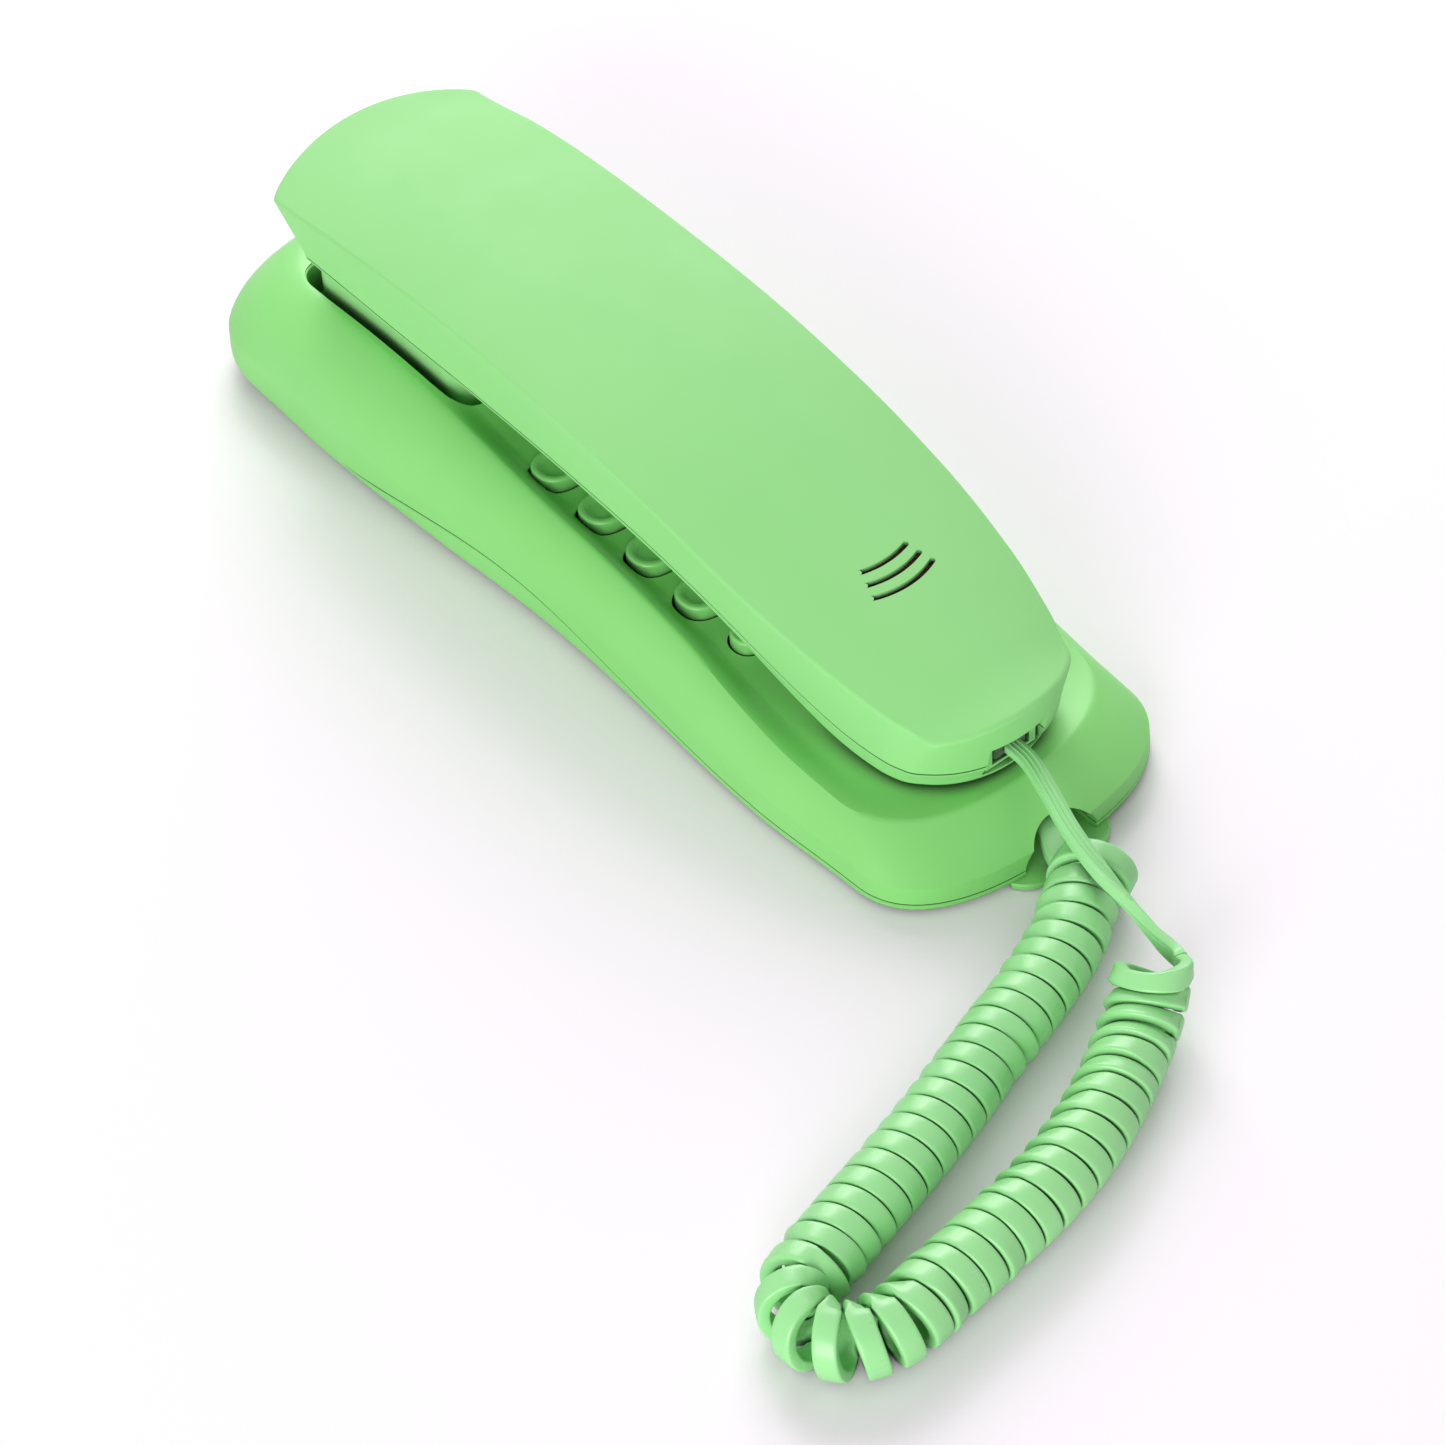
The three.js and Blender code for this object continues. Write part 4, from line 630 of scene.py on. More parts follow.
def make_base_back():
    rim = lambda y: parting_z(y) - SEAM / 2
    rings = []
    for share in np.linspace(0, 1, 12) ** 2:
        rings.append(wall_ring(lambda y: (rim(y) - SEAM_ROUND) * share))
    rings.append(wall_ring(rim, SEAM_ROUND))
    inner = wall_plan(BASE_WALL)
    level = lambda y, a: np.full(len(y), BASE_WALL)
    rings.append(inner.ring(lambda y, a: np.maximum(rim(y), BASE_WALL + 0.05 * MM)))
    rings.append(inner.ring(level))
    flat = wall_plan(lambda y: along(FOOT, y)).sheet(lambda y, a: np.zeros(len(y)))
    obj = housing("base_back", rings, -1, (flat, True), (inner.sheet(level), False))
    bosses = [turned([(BOSS_R, 1.7), (BOSS_R, 4.3)], (x * MM, y * MM, 0)) for x, y in BASE_SCREWS]
    boolean(obj, lip(), *bosses, operation="UNION")
    boolean(obj, notch_cutter(), *end_ports(), *[keyhole_cutter(y) for y in KEYHOLES])
    for i in range(SOUNDER_SLOTS):
        offset = (i - (SOUNDER_SLOTS - 1) / 2) * SOUNDER_PITCH
        half = math.sqrt(SOUNDER_R**2 - offset**2)
        boolean(obj, slot_cutter(SOUNDER_Y + offset, half, SOUNDER_SLOT))
    sunk = SCREW_SINK + SCREW_HEAD_H + 0.3
    profile = [(HEAD_HOLE_R + 0.4, -1), (HEAD_HOLE_R + 0.4, 0), (HEAD_HOLE_R, 0.3), (HEAD_HOLE_R, sunk),
               (SHANK_HOLE_R, sunk), (SHANK_HOLE_R, 6)]
    boolean(obj, *[turned(profile, (x * MM, y * MM, 0)) for x, y in BASE_SCREWS])
    return smooth(obj)


base_back = make_base_back()
print("back shell:", len(base_back.data.polygons), "faces")

# %% [markdown]
# ## The handset
#
# The handset is an arch. Its back is a long crowned band between two creases, crisp at the ear
# and softer towards the mouth. Below the creases the sides lean inwards to a seam, where the back
# half meets the inner half. Both halves are lofted from the same three outlines: the crease, the
# seam and the underside.

# %% Handset stations
HS_CREASE_HALF = [[-84, 16], [-76, 18.4], [-64, 21], [-45, 23.1], [-8, 23.9], [28, 23.8], [64, 23.8],
                  [84, 23.1]]
HS_CREASE_Z = [[-91, 25.6], [-84, 26.4], [-76, 28.6], [-64, 32.2], [-45, 37.1], [-27, 41.2], [-8, 44.2],
               [8, 45.8], [28, 46.8], [48, 46.8], [64, 45.8], [84, 43.6]]
HS_CROWN = 3.0 * MM
HS_CREASE_ROUND = [[-90, 0.9], [-40, 0.8], [0, 0.7], [90, 0.7]]
HS_SEAM_HALF = [[-84, 16.2], [-76, 18.3], [-60, 20], [-40, 21], [0, 21.7], [40, 21.4], [84, 20.4]]
HS_SEAM_RISE = [[-90, 5.2], [-40, 4.8], [0, 4.4], [84, 4.4]]
HS_UNDER_HALF = [[-82, 16], [-74, 18], [-60, 19.4], [-30, 20], [0, 20.4], [40, 19.9], [84, 18.8]]
HS_UNDER_Z = [[-92, 12.3], [-74, 12.5], [-66, 13.4], [-56, 15.8], [-38, 20.8], [-18, 24.8], [4, 27],
              [30, 27.6], [84, 26.4]]
HS_UNDER_ROUND = 2.4 * MM
HS_WALL = 2.0 * MM
CREASE_ENDS = ({"depth": 3.4, "bow": 4.3, "power": 2.4}, {"depth": 2.6, "bow": 4.6, "power": 2.2})
SEAM_ENDS = ({"depth": 4.6, "bow": 4.4, "power": 2.4}, {"depth": 4, "bow": 4.4, "power": 2.3})
UNDER_ENDS = ({"depth": 5.4, "bow": 4.2, "power": 2.4}, {"depth": 4, "bow": 4.4, "power": 2.3})
CREASE_LOW, CREASE_TOP = -90.4, 89.6
SEAM_LOW, SEAM_TOP = -88.8 * MM, 86.6 * MM
UNDER_LOW, UNDER_TOP = -87.4 * MM, 85 * MM


def under_z(y):
    return along(HS_UNDER_Z, y)


def seam_z(y):
    return under_z(y) + along(HS_SEAM_RISE, y)


def crease_plan(inset, round_share):
    """The crease outline, drawn in by a share of its own rounding."""
    half = lambda y: along(HS_CREASE_HALF, y) - inset - along(HS_CREASE_ROUND, y) * round_share
    low = (CREASE_LOW + HS_CREASE_ROUND[0][1] * round_share) * MM + inset
    top = (CREASE_TOP - HS_CREASE_ROUND[-1][1] * round_share) * MM - inset
    return Plan(low, top, half, *CREASE_ENDS)


def crown_z(drop, round_share):
    """Height of the back at a share across, below the full crown by drop and by the rounding."""
    return lambda y, a: (along(HS_CREASE_Z, y) + HS_CROWN * (1 - a**2)
                         - drop - along(HS_CREASE_ROUND, y) * round_share)


def seam_ring(inset, rise):
    half = lambda y: along(HS_SEAM_HALF, y) - inset
    plan = Plan(SEAM_LOW + inset, SEAM_TOP - inset, half, *SEAM_ENDS)
    return plan.ring(lambda y, a: seam_z(y) + rise)


def under_plan(draw):
    half = lambda y: along(HS_UNDER_HALF, y) - draw
    return Plan(UNDER_LOW + draw, UNDER_TOP - draw, half, *UNDER_ENDS)


def between(first, second, shares):
    return [first + (second - first) * k for k in shares]


print("handset back at the middle:", np.round(crown_z(0, 0)(np.array([0.0]), 0) / MM, 1), "mm")

# %% Handset outer shell
VENTS = [(-55.9, 5.2), (-58.6, 6.0), (-61.3, 6.8)]
VENT_WIDTH, VENT_RADIUS, VENT_SKIN, VENT_CUT = 1.0 * MM, 17 * MM, 0.9 * MM, (27 * MM, 60 * MM)
POCKET_HALF, POCKET_LOW, POCKET_TOP, POCKET_FLOOR = 9 * MM, -63.8 * MM, -50.9 * MM, 28 * MM
HS_SCREWS = (34 * MM, -46 * MM)
JACK_FLOOR = float(under_z(UNDER_LOW)[0]) + HS_WALL + GAP
PORT = ((-6.4 * MM, -95.4 * MM, JACK_FLOOR - GAP), (6.4 * MM, -79 * MM, JACK_FLOOR + 7.1 * MM))


def vent_cutter(y, half):
    """A slot on an arc, round at both ends, that sags towards the mouth."""
    centre = y * MM + VENT_RADIUS
    sweep = math.asin(half * MM / VENT_RADIUS)
    outline = []
    angles = 1.5 * math.pi + np.linspace(-sweep, sweep, 21)
    for sign, run in ((1, angles), (-1, angles[::-1])):
        radius = VENT_RADIUS + sign * VENT_WIDTH / 2
        outline += [(radius * math.cos(t), centre + radius * math.sin(t)) for t in run]
        tip = run[-1]
        for k in range(1, 6):
            turn = tip + sign * math.pi * k / 6
            outline.append((VENT_RADIUS * math.cos(tip) + sign * VENT_WIDTH / 2 * math.cos(turn),
                            centre + VENT_RADIUS * math.sin(tip) + sign * VENT_WIDTH / 2 * math.sin(turn)))
    return prism(outline, *VENT_CUT)


def port_cutter():
    low, high = PORT
    centre = ((low[0] + high[0]) / 2, (low[2] + high[2]) / 2)
    half = ((high[0] - low[0]) / 2, (high[2] - low[2]) / 2)
    return prism(rounded(*half, 0.5 * MM, centre, 0, 4), low[1], high[1], lengthwise=True)


def vent_pocket():
    """Behind the vents the wall is thinned from inside, so that the cloth lies close to the slots."""
    n = 9
    columns, rows = np.linspace(-POCKET_HALF, POCKET_HALF, n), np.linspace(POCKET_LOW, POCKET_TOP, n)
    place = np.array([(x, y) for y in rows for x in columns])
    share = place[:, 0] / along(HS_CREASE_HALF, place[:, 1])
    roof = np.column_stack([place, crown_z(VENT_SKIN, 0)(place[:, 1], share)])
    floor = np.column_stack([place, np.full(len(place), POCKET_FLOOR)])
    rim = [*range(n), *range(2 * n - 1, n * n, n), *range(n * n - 2, n * n - n - 1, -1),
           *range(n * n - 2 * n, 0, -n)]
    faces = grid_faces(0, n, n, False) + grid_faces(n * n, n, n, True)
    faces += [(a + n * n, b + n * n, b, a) for a, b in zip(rim, rim[1:] + rim[:1])]
    return weld(new_object("tool", np.vstack([roof, floor]), faces))


def make_handset_outer():
    top_of_wall = crease_plan(0, 0).ring(crown_z(0, 1))
    seam = seam_ring(0, SEAM / 2 + SEAM_ROUND)
    rings = [seam_ring(SEAM_ROUND, SEAM / 2)] + between(seam, top_of_wall, np.linspace(0, 1, 9))
    rings += [crease_plan(0, drawn).ring(crown_z(0, drop)) for drawn, drop in quarter(6)[1:]]
    outside = len(rings)
    lining = crease_plan(HS_WALL, 1)
    rings += [lining.ring(crown_z(HS_WALL, 0)), seam_ring(HS_WALL, SEAM / 2)]
    back = crease_plan(0, 1).sheet(crown_z(0, 0))
    sheets = (back, False), (lining.sheet(crown_z(HS_WALL, 0)), True)
    obj = housing("handset_back", rings, outside - 1, *sheets)
    boolean(obj, port_cutter(), vent_pocket(), *[vent_cutter(*vent) for vent in VENTS])
    return smooth(obj)


handset_back = make_handset_outer()
print("handset outer shell:", len(handset_back.data.polygons), "faces")

# %% [markdown]
# ## The inner half of the handset
#
# The side that faces the base carries the ear boss, which drops into the base's well, and the
# mouthpiece slots. They are seen once the handset is lifted, so they get the same care: a soft
# edge round the boss, a ring of holes for the ear and three short slots for the mouth.

# %% Handset inner shell
EAR_Y, EAR_FACE = 62 * MM, 14.1 * MM
EAR_HALF, EAR_CORNER, EAR_WALL = (16.7 * MM, 22.2 * MM), 5.5 * MM, 1.8 * MM
EAR_HOLE_RINGS = ((0, 1), (5, 6))  # radius and count
EAR_HOLE = [(1.15, 13), (1.15, 14.1), (0.9, 14.35), (0.9, 17)]
MIC_Y, MIC_SLOT_PITCH, MIC_CUT = -64 * MM, 2.6 * MM, (5 * MM, 20 * MM)
MIC_SLOT = (0.55 * MM, 2.5 * MM, 0.54 * MM)  # half width, half length and corner


def ear_boss(inset, low, high, edge):
    half_x, half_y = EAR_HALF
    path = lambda grow, z: rounded(half_x + grow, half_y + grow, EAR_CORNER + grow, (0, EAR_Y), z)
    rings = [path(-inset - edge * inward, low + edge * rise) for rise, inward in quarter(5)]
    return closed_skin(rings + [path(-inset, high)])


def make_handset_inner():
    level = lambda draw, rise: under_plan(draw).ring(lambda y, a: under_z(y) + rise)
    rings = [level(HS_UNDER_ROUND * drawn, HS_UNDER_ROUND * rise) for rise, drawn in quarter(6)]
    seam = seam_ring(0, -SEAM / 2 - SEAM_ROUND)
    rings += between(rings[-1], seam, (0.33, 0.67, 1)) + [seam_ring(SEAM_ROUND, -SEAM / 2)]
    deep = HS_WALL + HS_UNDER_ROUND * 0.5
    rings += [seam_ring(HS_WALL, -SEAM / 2), level(deep, HS_WALL)]
    underside = under_plan(HS_UNDER_ROUND).sheet(lambda y, a: under_z(y))
    inside = under_plan(deep).sheet(lambda y, a: under_z(y) + HS_WALL)
    obj = housing("handset_inner", rings, -1, (underside, True), (inside, False))
    root = float(under_z(EAR_Y)[0]) + 1 * MM
    heights = [float(under_z(y)[0]) / MM for y in HS_SCREWS]
    bosses = [turned([(BOSS_R, z + 0.8), (BOSS_R, z + 3.6)], (0, y, 0)) for y, z in zip(HS_SCREWS, heights)]
    boolean(obj, ear_boss(0, EAR_FACE, root, 2 * MM), *bosses, operation="UNION")
    boolean(obj, port_cutter(), ear_boss(EAR_WALL, EAR_FACE + EAR_WALL, root + 4 * MM, 1 * MM))
    for radius, count in EAR_HOLE_RINGS:
        for i in range(count):
            angle = 2 * math.pi * i / count
            centre = (radius * MM * math.cos(angle), EAR_Y + radius * MM * math.sin(angle), 0)
            boolean(obj, turned(EAR_HOLE, centre, sides=20))
    for i in (-1, 0, 1):
        boolean(obj, prism(rounded(*MIC_SLOT, (i * MIC_SLOT_PITCH, MIC_Y), 0, 5), *MIC_CUT))
    for y, height in zip(HS_SCREWS, heights):
        z = height + SCREW_SINK
        profile = [(HEAD_HOLE_R, z - 6), (HEAD_HOLE_R, z + 1.9),
                   (SHANK_HOLE_R, z + 1.9), (SHANK_HOLE_R, z + 12)]
        boolean(obj, turned(profile, (0, y, 0)))
    return smooth(obj)


handset_inner = make_handset_inner()
print("handset inner shell:", len(handset_inner.data.polygons), "faces")

# %% [markdown]
# ## The keys
#
# Each key is an oval cap with a raised rim and a shallow dish, standing about two millimetres out
# of the tray. Below the tray it has a flange that keeps it from falling out and a stem that rests
# on the rubber mat. The keys are plain, because no marks can be read on those in the picture.

# %% Keys
KEY_DISH = 0.8 * MM
KEY_FLANGE, KEY_FLANGE_THICK, KEY_STEM = 0.9 * MM, 0.9 * MM, 1.4 * MM
DOME_R = 2.6 * MM


def make_key(name):
    x, y, scale = KEYS[name]
    low, high = (np.array(corner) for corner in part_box(name))
    a, b = KEY_HALF_X * scale, KEY_HALF_Y * scale
    rim, foot = high[2], low[2]
    flange = foot + KEY_STEM
    levels = [(DOME_R, DOME_R, foot), (DOME_R, DOME_R, flange), (a + KEY_FLANGE, b + KEY_FLANGE, flange),
              (a + KEY_FLANGE, b + KEY_FLANGE, flange + KEY_FLANGE_THICK), (a, b, flange + KEY_FLANGE_THICK)]
    edge, crest = 0.6 * MM, 0.35 * MM
    levels += [(a - edge * drawn, b - edge * drawn, rim - edge * drop) for drawn, drop in quarter(6)]
    levels.append((a - edge - crest, b - edge - crest, rim))
    slope = 1.1 * MM * scale
    for t in np.linspace(0, 1, 8)[1:]:
        fall = (1 - math.cos(math.pi * t)) / 2
        draw = edge + crest + slope * t
        levels.append((a - draw, b - draw, rim - KEY_DISH * fall))
    inner = (a - edge - crest - slope, b - edge - crest - slope)
    for share in (0.66, 0.33):
        levels.append((inner[0] * share, inner[1] * share, rim - KEY_DISH * 1.04))
    rings = [oval(hx, hy, (x, y), z, KEY_SIDES, KEY_POWER if hx != DOME_R else 2.0)
             for hx, hy, z in levels]
    obj = closed_skin(rings, "cap_" + name)
    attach(obj, name)
    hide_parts(name)
    return smooth(obj, 40)


caps = {name: make_key(name) for name in KEY_NAMES}
print("keys:", len(caps))

# %% [markdown]
# ## The cord
#
# The handset cord is a flat one with four conductors, wound into curls and lying on its side on
# the surface. Each stretch is a list of frames: the middle of the cord, the direction of its
# width and the direction of its thickness. Round the tight bend the curls fan out on the
# outside. On the inside there is little room, so there they are drawn in, lean and press together.

# %% Cord route
CORD_WIDTH, CORD_THICK = 3.95 * MM, 2.2 * MM
COIL_R, COIL_PITCH = 5.3 * MM, 4.2 * MM
COIL_HEIGHT = COIL_R + CORD_THICK / 2 + 0.1 * MM
COIL_CLEAR = 0.2 * MM  # least gap from curl to curl
COIL_FIRST_PHASE, COIL_LAST_PHASE = 4.25, 3.7
COIL_BEND_DRAW, COIL_TIGHT_BEND = 0.32, 0.12 / MM
COIL_BEND_SPREAD, COIL_LEAST = 0.1, 3.2 * MM  # in the bend the curls spread, and keep this width inside it
COIL_FLATNESS = 0.8  # squared cosine of the furthest lean of the cord
LEAD_SIZE, RIB_HEIGHT = 0.8, 0.2  # the drawn-out lead against the curls, and its ribs as a share
LAST_LOOP, LAST_LOOP_OPEN = 9 * MM, 0.16  # the last loop by the notch is wider, and further from the next
CURL_STEPS, CORD_SIDES, LEAD_SIDES, CORD_POWER = 36, 24, 72, 5.5
SMOOTHING = 12  # points to each side that even out the bend of the route
# x, y and, where the coil stands up off the surface, how far
COIL_ROUTE = [
    [-13.6, -134.2, 7.1], [-14.9, -135.2, 4.5], [-17.6, -137, 2.1], [-22.2, -139.6, 0.5], [-28.5, -142.8, 0],
    [-39.5, -147.8, 0], [-52.9, -151.5, 0], [-68, -153.4, 0], [-79, -154.6, 0], [-87.6, -155.2, 0],
    [-94.2, -152.4, 0], [-96.8, -146.6, 0], [-94, -140.9, 0], [-87.4, -138.6, 0], [-78.6, -136.2, 0],
    [-65.1, -132.9, 0], [-51.6, -129.1, 0], [-38.3, -124.7, 0], [-24.6, -120.6, 0], [-15.4, -116.8, 0],
    [-7.6, -111.8, 0], [-0.8, -108.4, 0],
]
HANDSET_LEAD_ROUTE = [[0, -86.8, 17.3], [-0.3, -91, 17.3], [-2.4, -98, 17], [-5, -106, 16],
                      [-6.8, -115, 14.6], [-7.7, -123.5, 13.4], [-8.3, -130, 12.2]]
BASE_LEAD_ROUTE = [[0, -87.7, 5.6], [0, -91, 5.6], [-0.2, -95.5, 5]]
TURN_START, TURN_SPAN = 0.35, 0.6  # shares of a lead over which it turns over


def flowing(points, per_span=24):
    """A centripetal Catmull-Rom curve through the points."""
    p = np.array(points, float)
    p = np.vstack([2 * p[0] - p[1], p, 2 * p[-1] - p[-2]])
    out = []
    for i in range(1, len(p) - 2):
        p0, p1, p2, p3 = p[i - 1:i + 3]
        d0, d1, d2 = (max(np.linalg.norm(b - a) ** 0.5, 1e-6) for a, b in ((p0, p1), (p1, p2), (p2, p3)))
        m1 = ((p1 - p0) / d0 - (p2 - p0) / (d0 + d1) + (p2 - p1) / d1) * d1
        m2 = ((p2 - p1) / d1 - (p3 - p1) / (d1 + d2) + (p3 - p2) / d2) * d1
        for t in np.linspace(0, 1, per_span, endpoint=False):
            out.append(cubic(t, p1, m1, p2, m2))
    out.append(p[-2])
    return np.array(out)


def even(points, step):
    """The same curve with points about a step apart."""
    run = np.concatenate([[0], np.cumsum(np.linalg.norm(np.diff(points, axis=0), axis=1))])
    place = np.linspace(0, run[-1], max(int(round(run[-1] / step)), 2) + 1)
    return np.column_stack([np.interp(place, run, points[:, k]) for k in range(points.shape[1])]), run[-1]


def unit(v):
    return v / np.linalg.norm(v, axis=-1, keepdims=True)


def coil_frames():
    """The middle, width and thickness directions of the cord, curl by curl, and the room that it has."""
    path, length = even(flowing(np.array(COIL_ROUTE) * MM, 60), 0.25 * MM)
    path[:, 2] += COIL_HEIGHT
    ds = length / (len(path) - 1)
    tangent = unit(np.gradient(path, axis=0))
    turning = np.gradient(tangent, ds, axis=0)
    kernel = np.hanning(2 * SMOOTHING + 1)
    kernel /= kernel.sum()
    padded = np.pad(turning, ((SMOOTHING, SMOOTHING), (0, 0)), mode="edge")
    turning = np.column_stack([np.convolve(padded[:, k], kernel, "valid") for k in range(3)])
    loop = np.clip(1 - (length - np.arange(len(path)) * ds) / LAST_LOOP, 0, 1)
    loop = ease(loop) * LAST_LOOP_OPEN
    path[:, 2] += loop * COIL_R
    spread = np.clip(np.linalg.norm(turning[:, :2], axis=1) / COIL_TIGHT_BEND, 0, 1) * COIL_BEND_SPREAD
    pitch = COIL_PITCH * (1 + 2 * loop + spread)
    place = np.concatenate([[0], np.cumsum(2 * math.pi * ds / pitch[1:])])
    excess = COIL_LAST_PHASE - COIL_FIRST_PHASE
    turns = round((place[-1] - excess) / (2 * math.pi))
    total = 2 * math.pi * turns + excess
    pitch *= place[-1] / total
    place *= total / place[-1]
    wound = np.linspace(0, total, int(total / (2 * math.pi) * CURL_STEPS) + 1)
    pick = lambda values: np.column_stack([np.interp(wound, place, values[:, k]) for k in range(3)])
    centre, axis, curve = pick(path), unit(pick(tangent)), pick(turning)
    bend = np.linalg.norm(curve, axis=1, keepdims=True)
    side = unit(np.cross(axis, np.array([0, 0, 1.0])))
    lift = np.cross(side, axis)
    angle = (wound + COIL_FIRST_PHASE)[:, None]
    out = lift * np.cos(angle) + side * np.sin(angle)
    inward = np.clip((out * curve).sum(axis=1, keepdims=True) / np.maximum(bend, 1e-6), 0, 1)
    arm = out * COIL_R * (1 - COIL_BEND_DRAW * np.minimum(bend / COIL_TIGHT_BEND, 1) * inward**2)
    arm *= 1 + np.interp(wound, place, loop)[:, None]
    pitch = np.interp(wound, place, pitch)
    # where the curls crowd, the cord leans from flat a little towards its edge
    free = pitch * (1 - (arm * curve).sum(axis=1)) - COIL_CLEAR
    flatness = np.clip((free**2 - CORD_THICK**2) / (CORD_WIDTH**2 - CORD_THICK**2), COIL_FLATNESS, 1)
    lean = np.arccos(np.sqrt(flatness))[:, None]
    width = axis * np.cos(lean) + out * np.sin(lean)
    thick = -axis * np.sin(lean) + out * np.cos(lean)
    room = list(zip(axis, curve, arm, pitch))
    return centre + arm, width, thick, room, turns


def squeezed(section, axis, curve, arm, pitch):
    """Keeps a section inside its own share of a bend, which narrows towards the inside."""
    run = section @ axis
    share = np.maximum(pitch * (1 - (arm + section) @ curve) - COIL_CLEAR, COIL_LEAST) / 2
    return section - np.outer(run * (1 - np.minimum(1, share / np.abs(run).max())), axis)


def lead_frames(route, coil_point, coil_width, away, straight):
    """A free stretch from its plug to the coil; its flat side turns over on the way."""
    route = [np.array(p) * MM for p in route]
    points = route + [coil_point + away * straight, coil_point]
    path, _ = even(flowing(points), 0.5 * MM)
    tangent = unit(np.gradient(path, axis=0))
    share = np.linspace(0, 1, len(path))
    turn = ease(np.clip((share - TURN_START) / TURN_SPAN, 0, 1))[:, None]
    start = np.array([1.0, 0, 0])
    end = coil_width if coil_width @ start > -0.2 else -coil_width
    width = unit(start * (1 - turn) + end * turn)
    width = unit(width - tangent * (width * tangent).sum(axis=1)[:, None])
    thick = np.cross(tangent, width)
    width[-1] = end
    return path, width, thick


def cord_section(fine):
    """The flat cord's outline, from -1 to 1 across and through; fine gives room for the ribs of a lead."""
    if fine:
        half = np.sin(np.linspace(-math.pi / 2, math.pi / 2, LEAD_SIDES // 2 + 1))
        across = np.concatenate([half[:0:-1], half[:-1]])
        through = (1 - np.abs(across) ** CORD_POWER).clip(0) ** (1 / CORD_POWER)
        return across, through * np.where(np.arange(len(across)) < LEAD_SIDES // 2, 1, -1)
    angle = np.linspace(0, 2 * math.pi, CORD_SIDES, endpoint=False) + math.pi / CORD_SIDES
    return superellipse(angle, CORD_POWER)


def ribbon(name, path, width, thick, drawn, room=(), fine=False):
    """Skins the flat cord. Where it is drawn out it is slimmer, with three fine ribs along each face."""
    across, through = cord_section(fine)
    rings = []
    for k, (p, w, t, share) in enumerate(zip(path, width, thick, drawn)):
        rib = 1 + share * (0.5 + 0.5 * np.cos(across * math.pi * 4)) ** 5 * RIB_HEIGHT
        size = 1 - share * (1 - LEAD_SIZE)
        section = size * (np.outer(across * CORD_WIDTH / 2, w) + np.outer(through * rib * CORD_THICK / 2, t))
        ring = p + (squeezed(section, *room[k]) if k < len(room) else section)
        ring[:, 2] = np.maximum(ring[:, 2], 0)
        rings.append(ring)
    return smooth(closed_skin(rings, name), 60, weighted=False)


middle, width, thick, room, turns = coil_frames()
ahead = unit(np.gradient(middle, axis=0))
print("curls:", turns)
handset_lead = lead_frames(HANDSET_LEAD_ROUTE, middle[0], width[0], -ahead[0], 2.2 * MM)
base_lead = lead_frames(BASE_LEAD_ROUTE, middle[-1], width[-1], ahead[-1], 4 * MM)


def run_length(path):
    return float(np.linalg.norm(np.diff(path, axis=0), axis=1).sum())


def make_cords():
    path, w, t = (a[::-1] for a in handset_lead)
    drawn = np.clip(np.linspace(0, 6, len(path)), 0, 1)  # fully from a sixth of the way on
    flip = 1 if w[0] @ width[0] > 0 else -1
    handset_cord = ribbon("handset_cord", path, w * flip, t, drawn, fine=True)
    bpath, bw, bt = base_lead
    flip = 1 if bw[-1] @ width[-1] > 0 else -1
    bt = bt if bt[-1] @ thick[-1] > 0 else -bt
    coil_path = np.vstack([middle, bpath[::-1][1:]])
    coil_width = np.vstack([width, flip * bw[::-1][1:]])
    coil_thick = np.vstack([thick, bt[::-1][1:]])
    coiled = ribbon("coiled_cord", coil_path, coil_width, coil_thick, np.zeros(len(coil_path)), room)
    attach(coiled, "base")
    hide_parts("cord_curls", "base_lead")
    run_length(coil_path)
    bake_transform(handset_cord)
    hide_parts("handset_lead")
    run_length(path)
    return coiled, handset_cord


coiled_cord, handset_cord = make_cords()
print("cord faces:", len(coiled_cord.data.polygons) + len(handset_cord.data.polygons))

# %% [markdown]
# ## Plugs
#
# Both ends of the cord have the same clear four-way plug: a stepped block that narrows to a neck,
# with four gilt contacts in slots in its top.

# %% Plugs
PLUG_HALF, PLUG_PITCH = 7.65 * MM / 2, 1.27 * MM


# half width, then back, front, low and high from the plug's front and top, in mm
CONTACT, CONTACT_SLOT = (0.16, -3.2, -0.6, -1.55, -0.35), (0.3, -3.4, 1, -1.6, 1)
# how much narrower, higher and lower than the whole plug, and how far from its back or front, in mm
PLUG_BACK = ((1.1, 1.2, 1.3, 0), (0.6, 0.5, 1.3, 0), (0.3, 0.2, 1.0, 0.3), (0.3, 0.2, 1.0, 2.2),
             (0, 0, 0, 2.7))
PLUG_FRONT = ((0, 0, 0, -0.3), (0.3, 0.3, 0.3, 0))


def box_ring(half, z0, z1, y, corner=0.25 * MM):
    face = rounded(half, (z1 - z0) / 2, corner, (0, (z0 + z1) / 2), 0, 3)
    return np.column_stack([face[:, 0], np.full(len(face), y), face[:, 1]])


def make_plug(name, node, body):
    (_, y0, z0), (_, y1, z1) = (np.array(corner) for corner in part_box(node))
    rings = [box_ring(PLUG_HALF - narrow * MM, z0 + rise * MM, z1 - drop * MM, end + place * MM)
             for end, part in ((y0, PLUG_BACK), (y1, PLUG_FRONT)) for narrow, rise, drop, place in part]
    obj = closed_skin(rings, name)

    def bar(x, half, back, front, low, high):
        return block((x - half * MM, y1 + back * MM, z1 + low * MM),
                     (x + half * MM, y1 + front * MM, z1 + high * MM))

    middles = [(i - 1.5) * PLUG_PITCH for i in range(4)]
    boolean(obj, *[bar(x, *CONTACT_SLOT) for x in middles])
    smooth(obj, 25)
    gilt = join([bar(x, *CONTACT) for x in middles], name + "_contacts")
    for piece in (obj, gilt):
        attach(piece, body)
    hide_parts(node)
    return obj, gilt


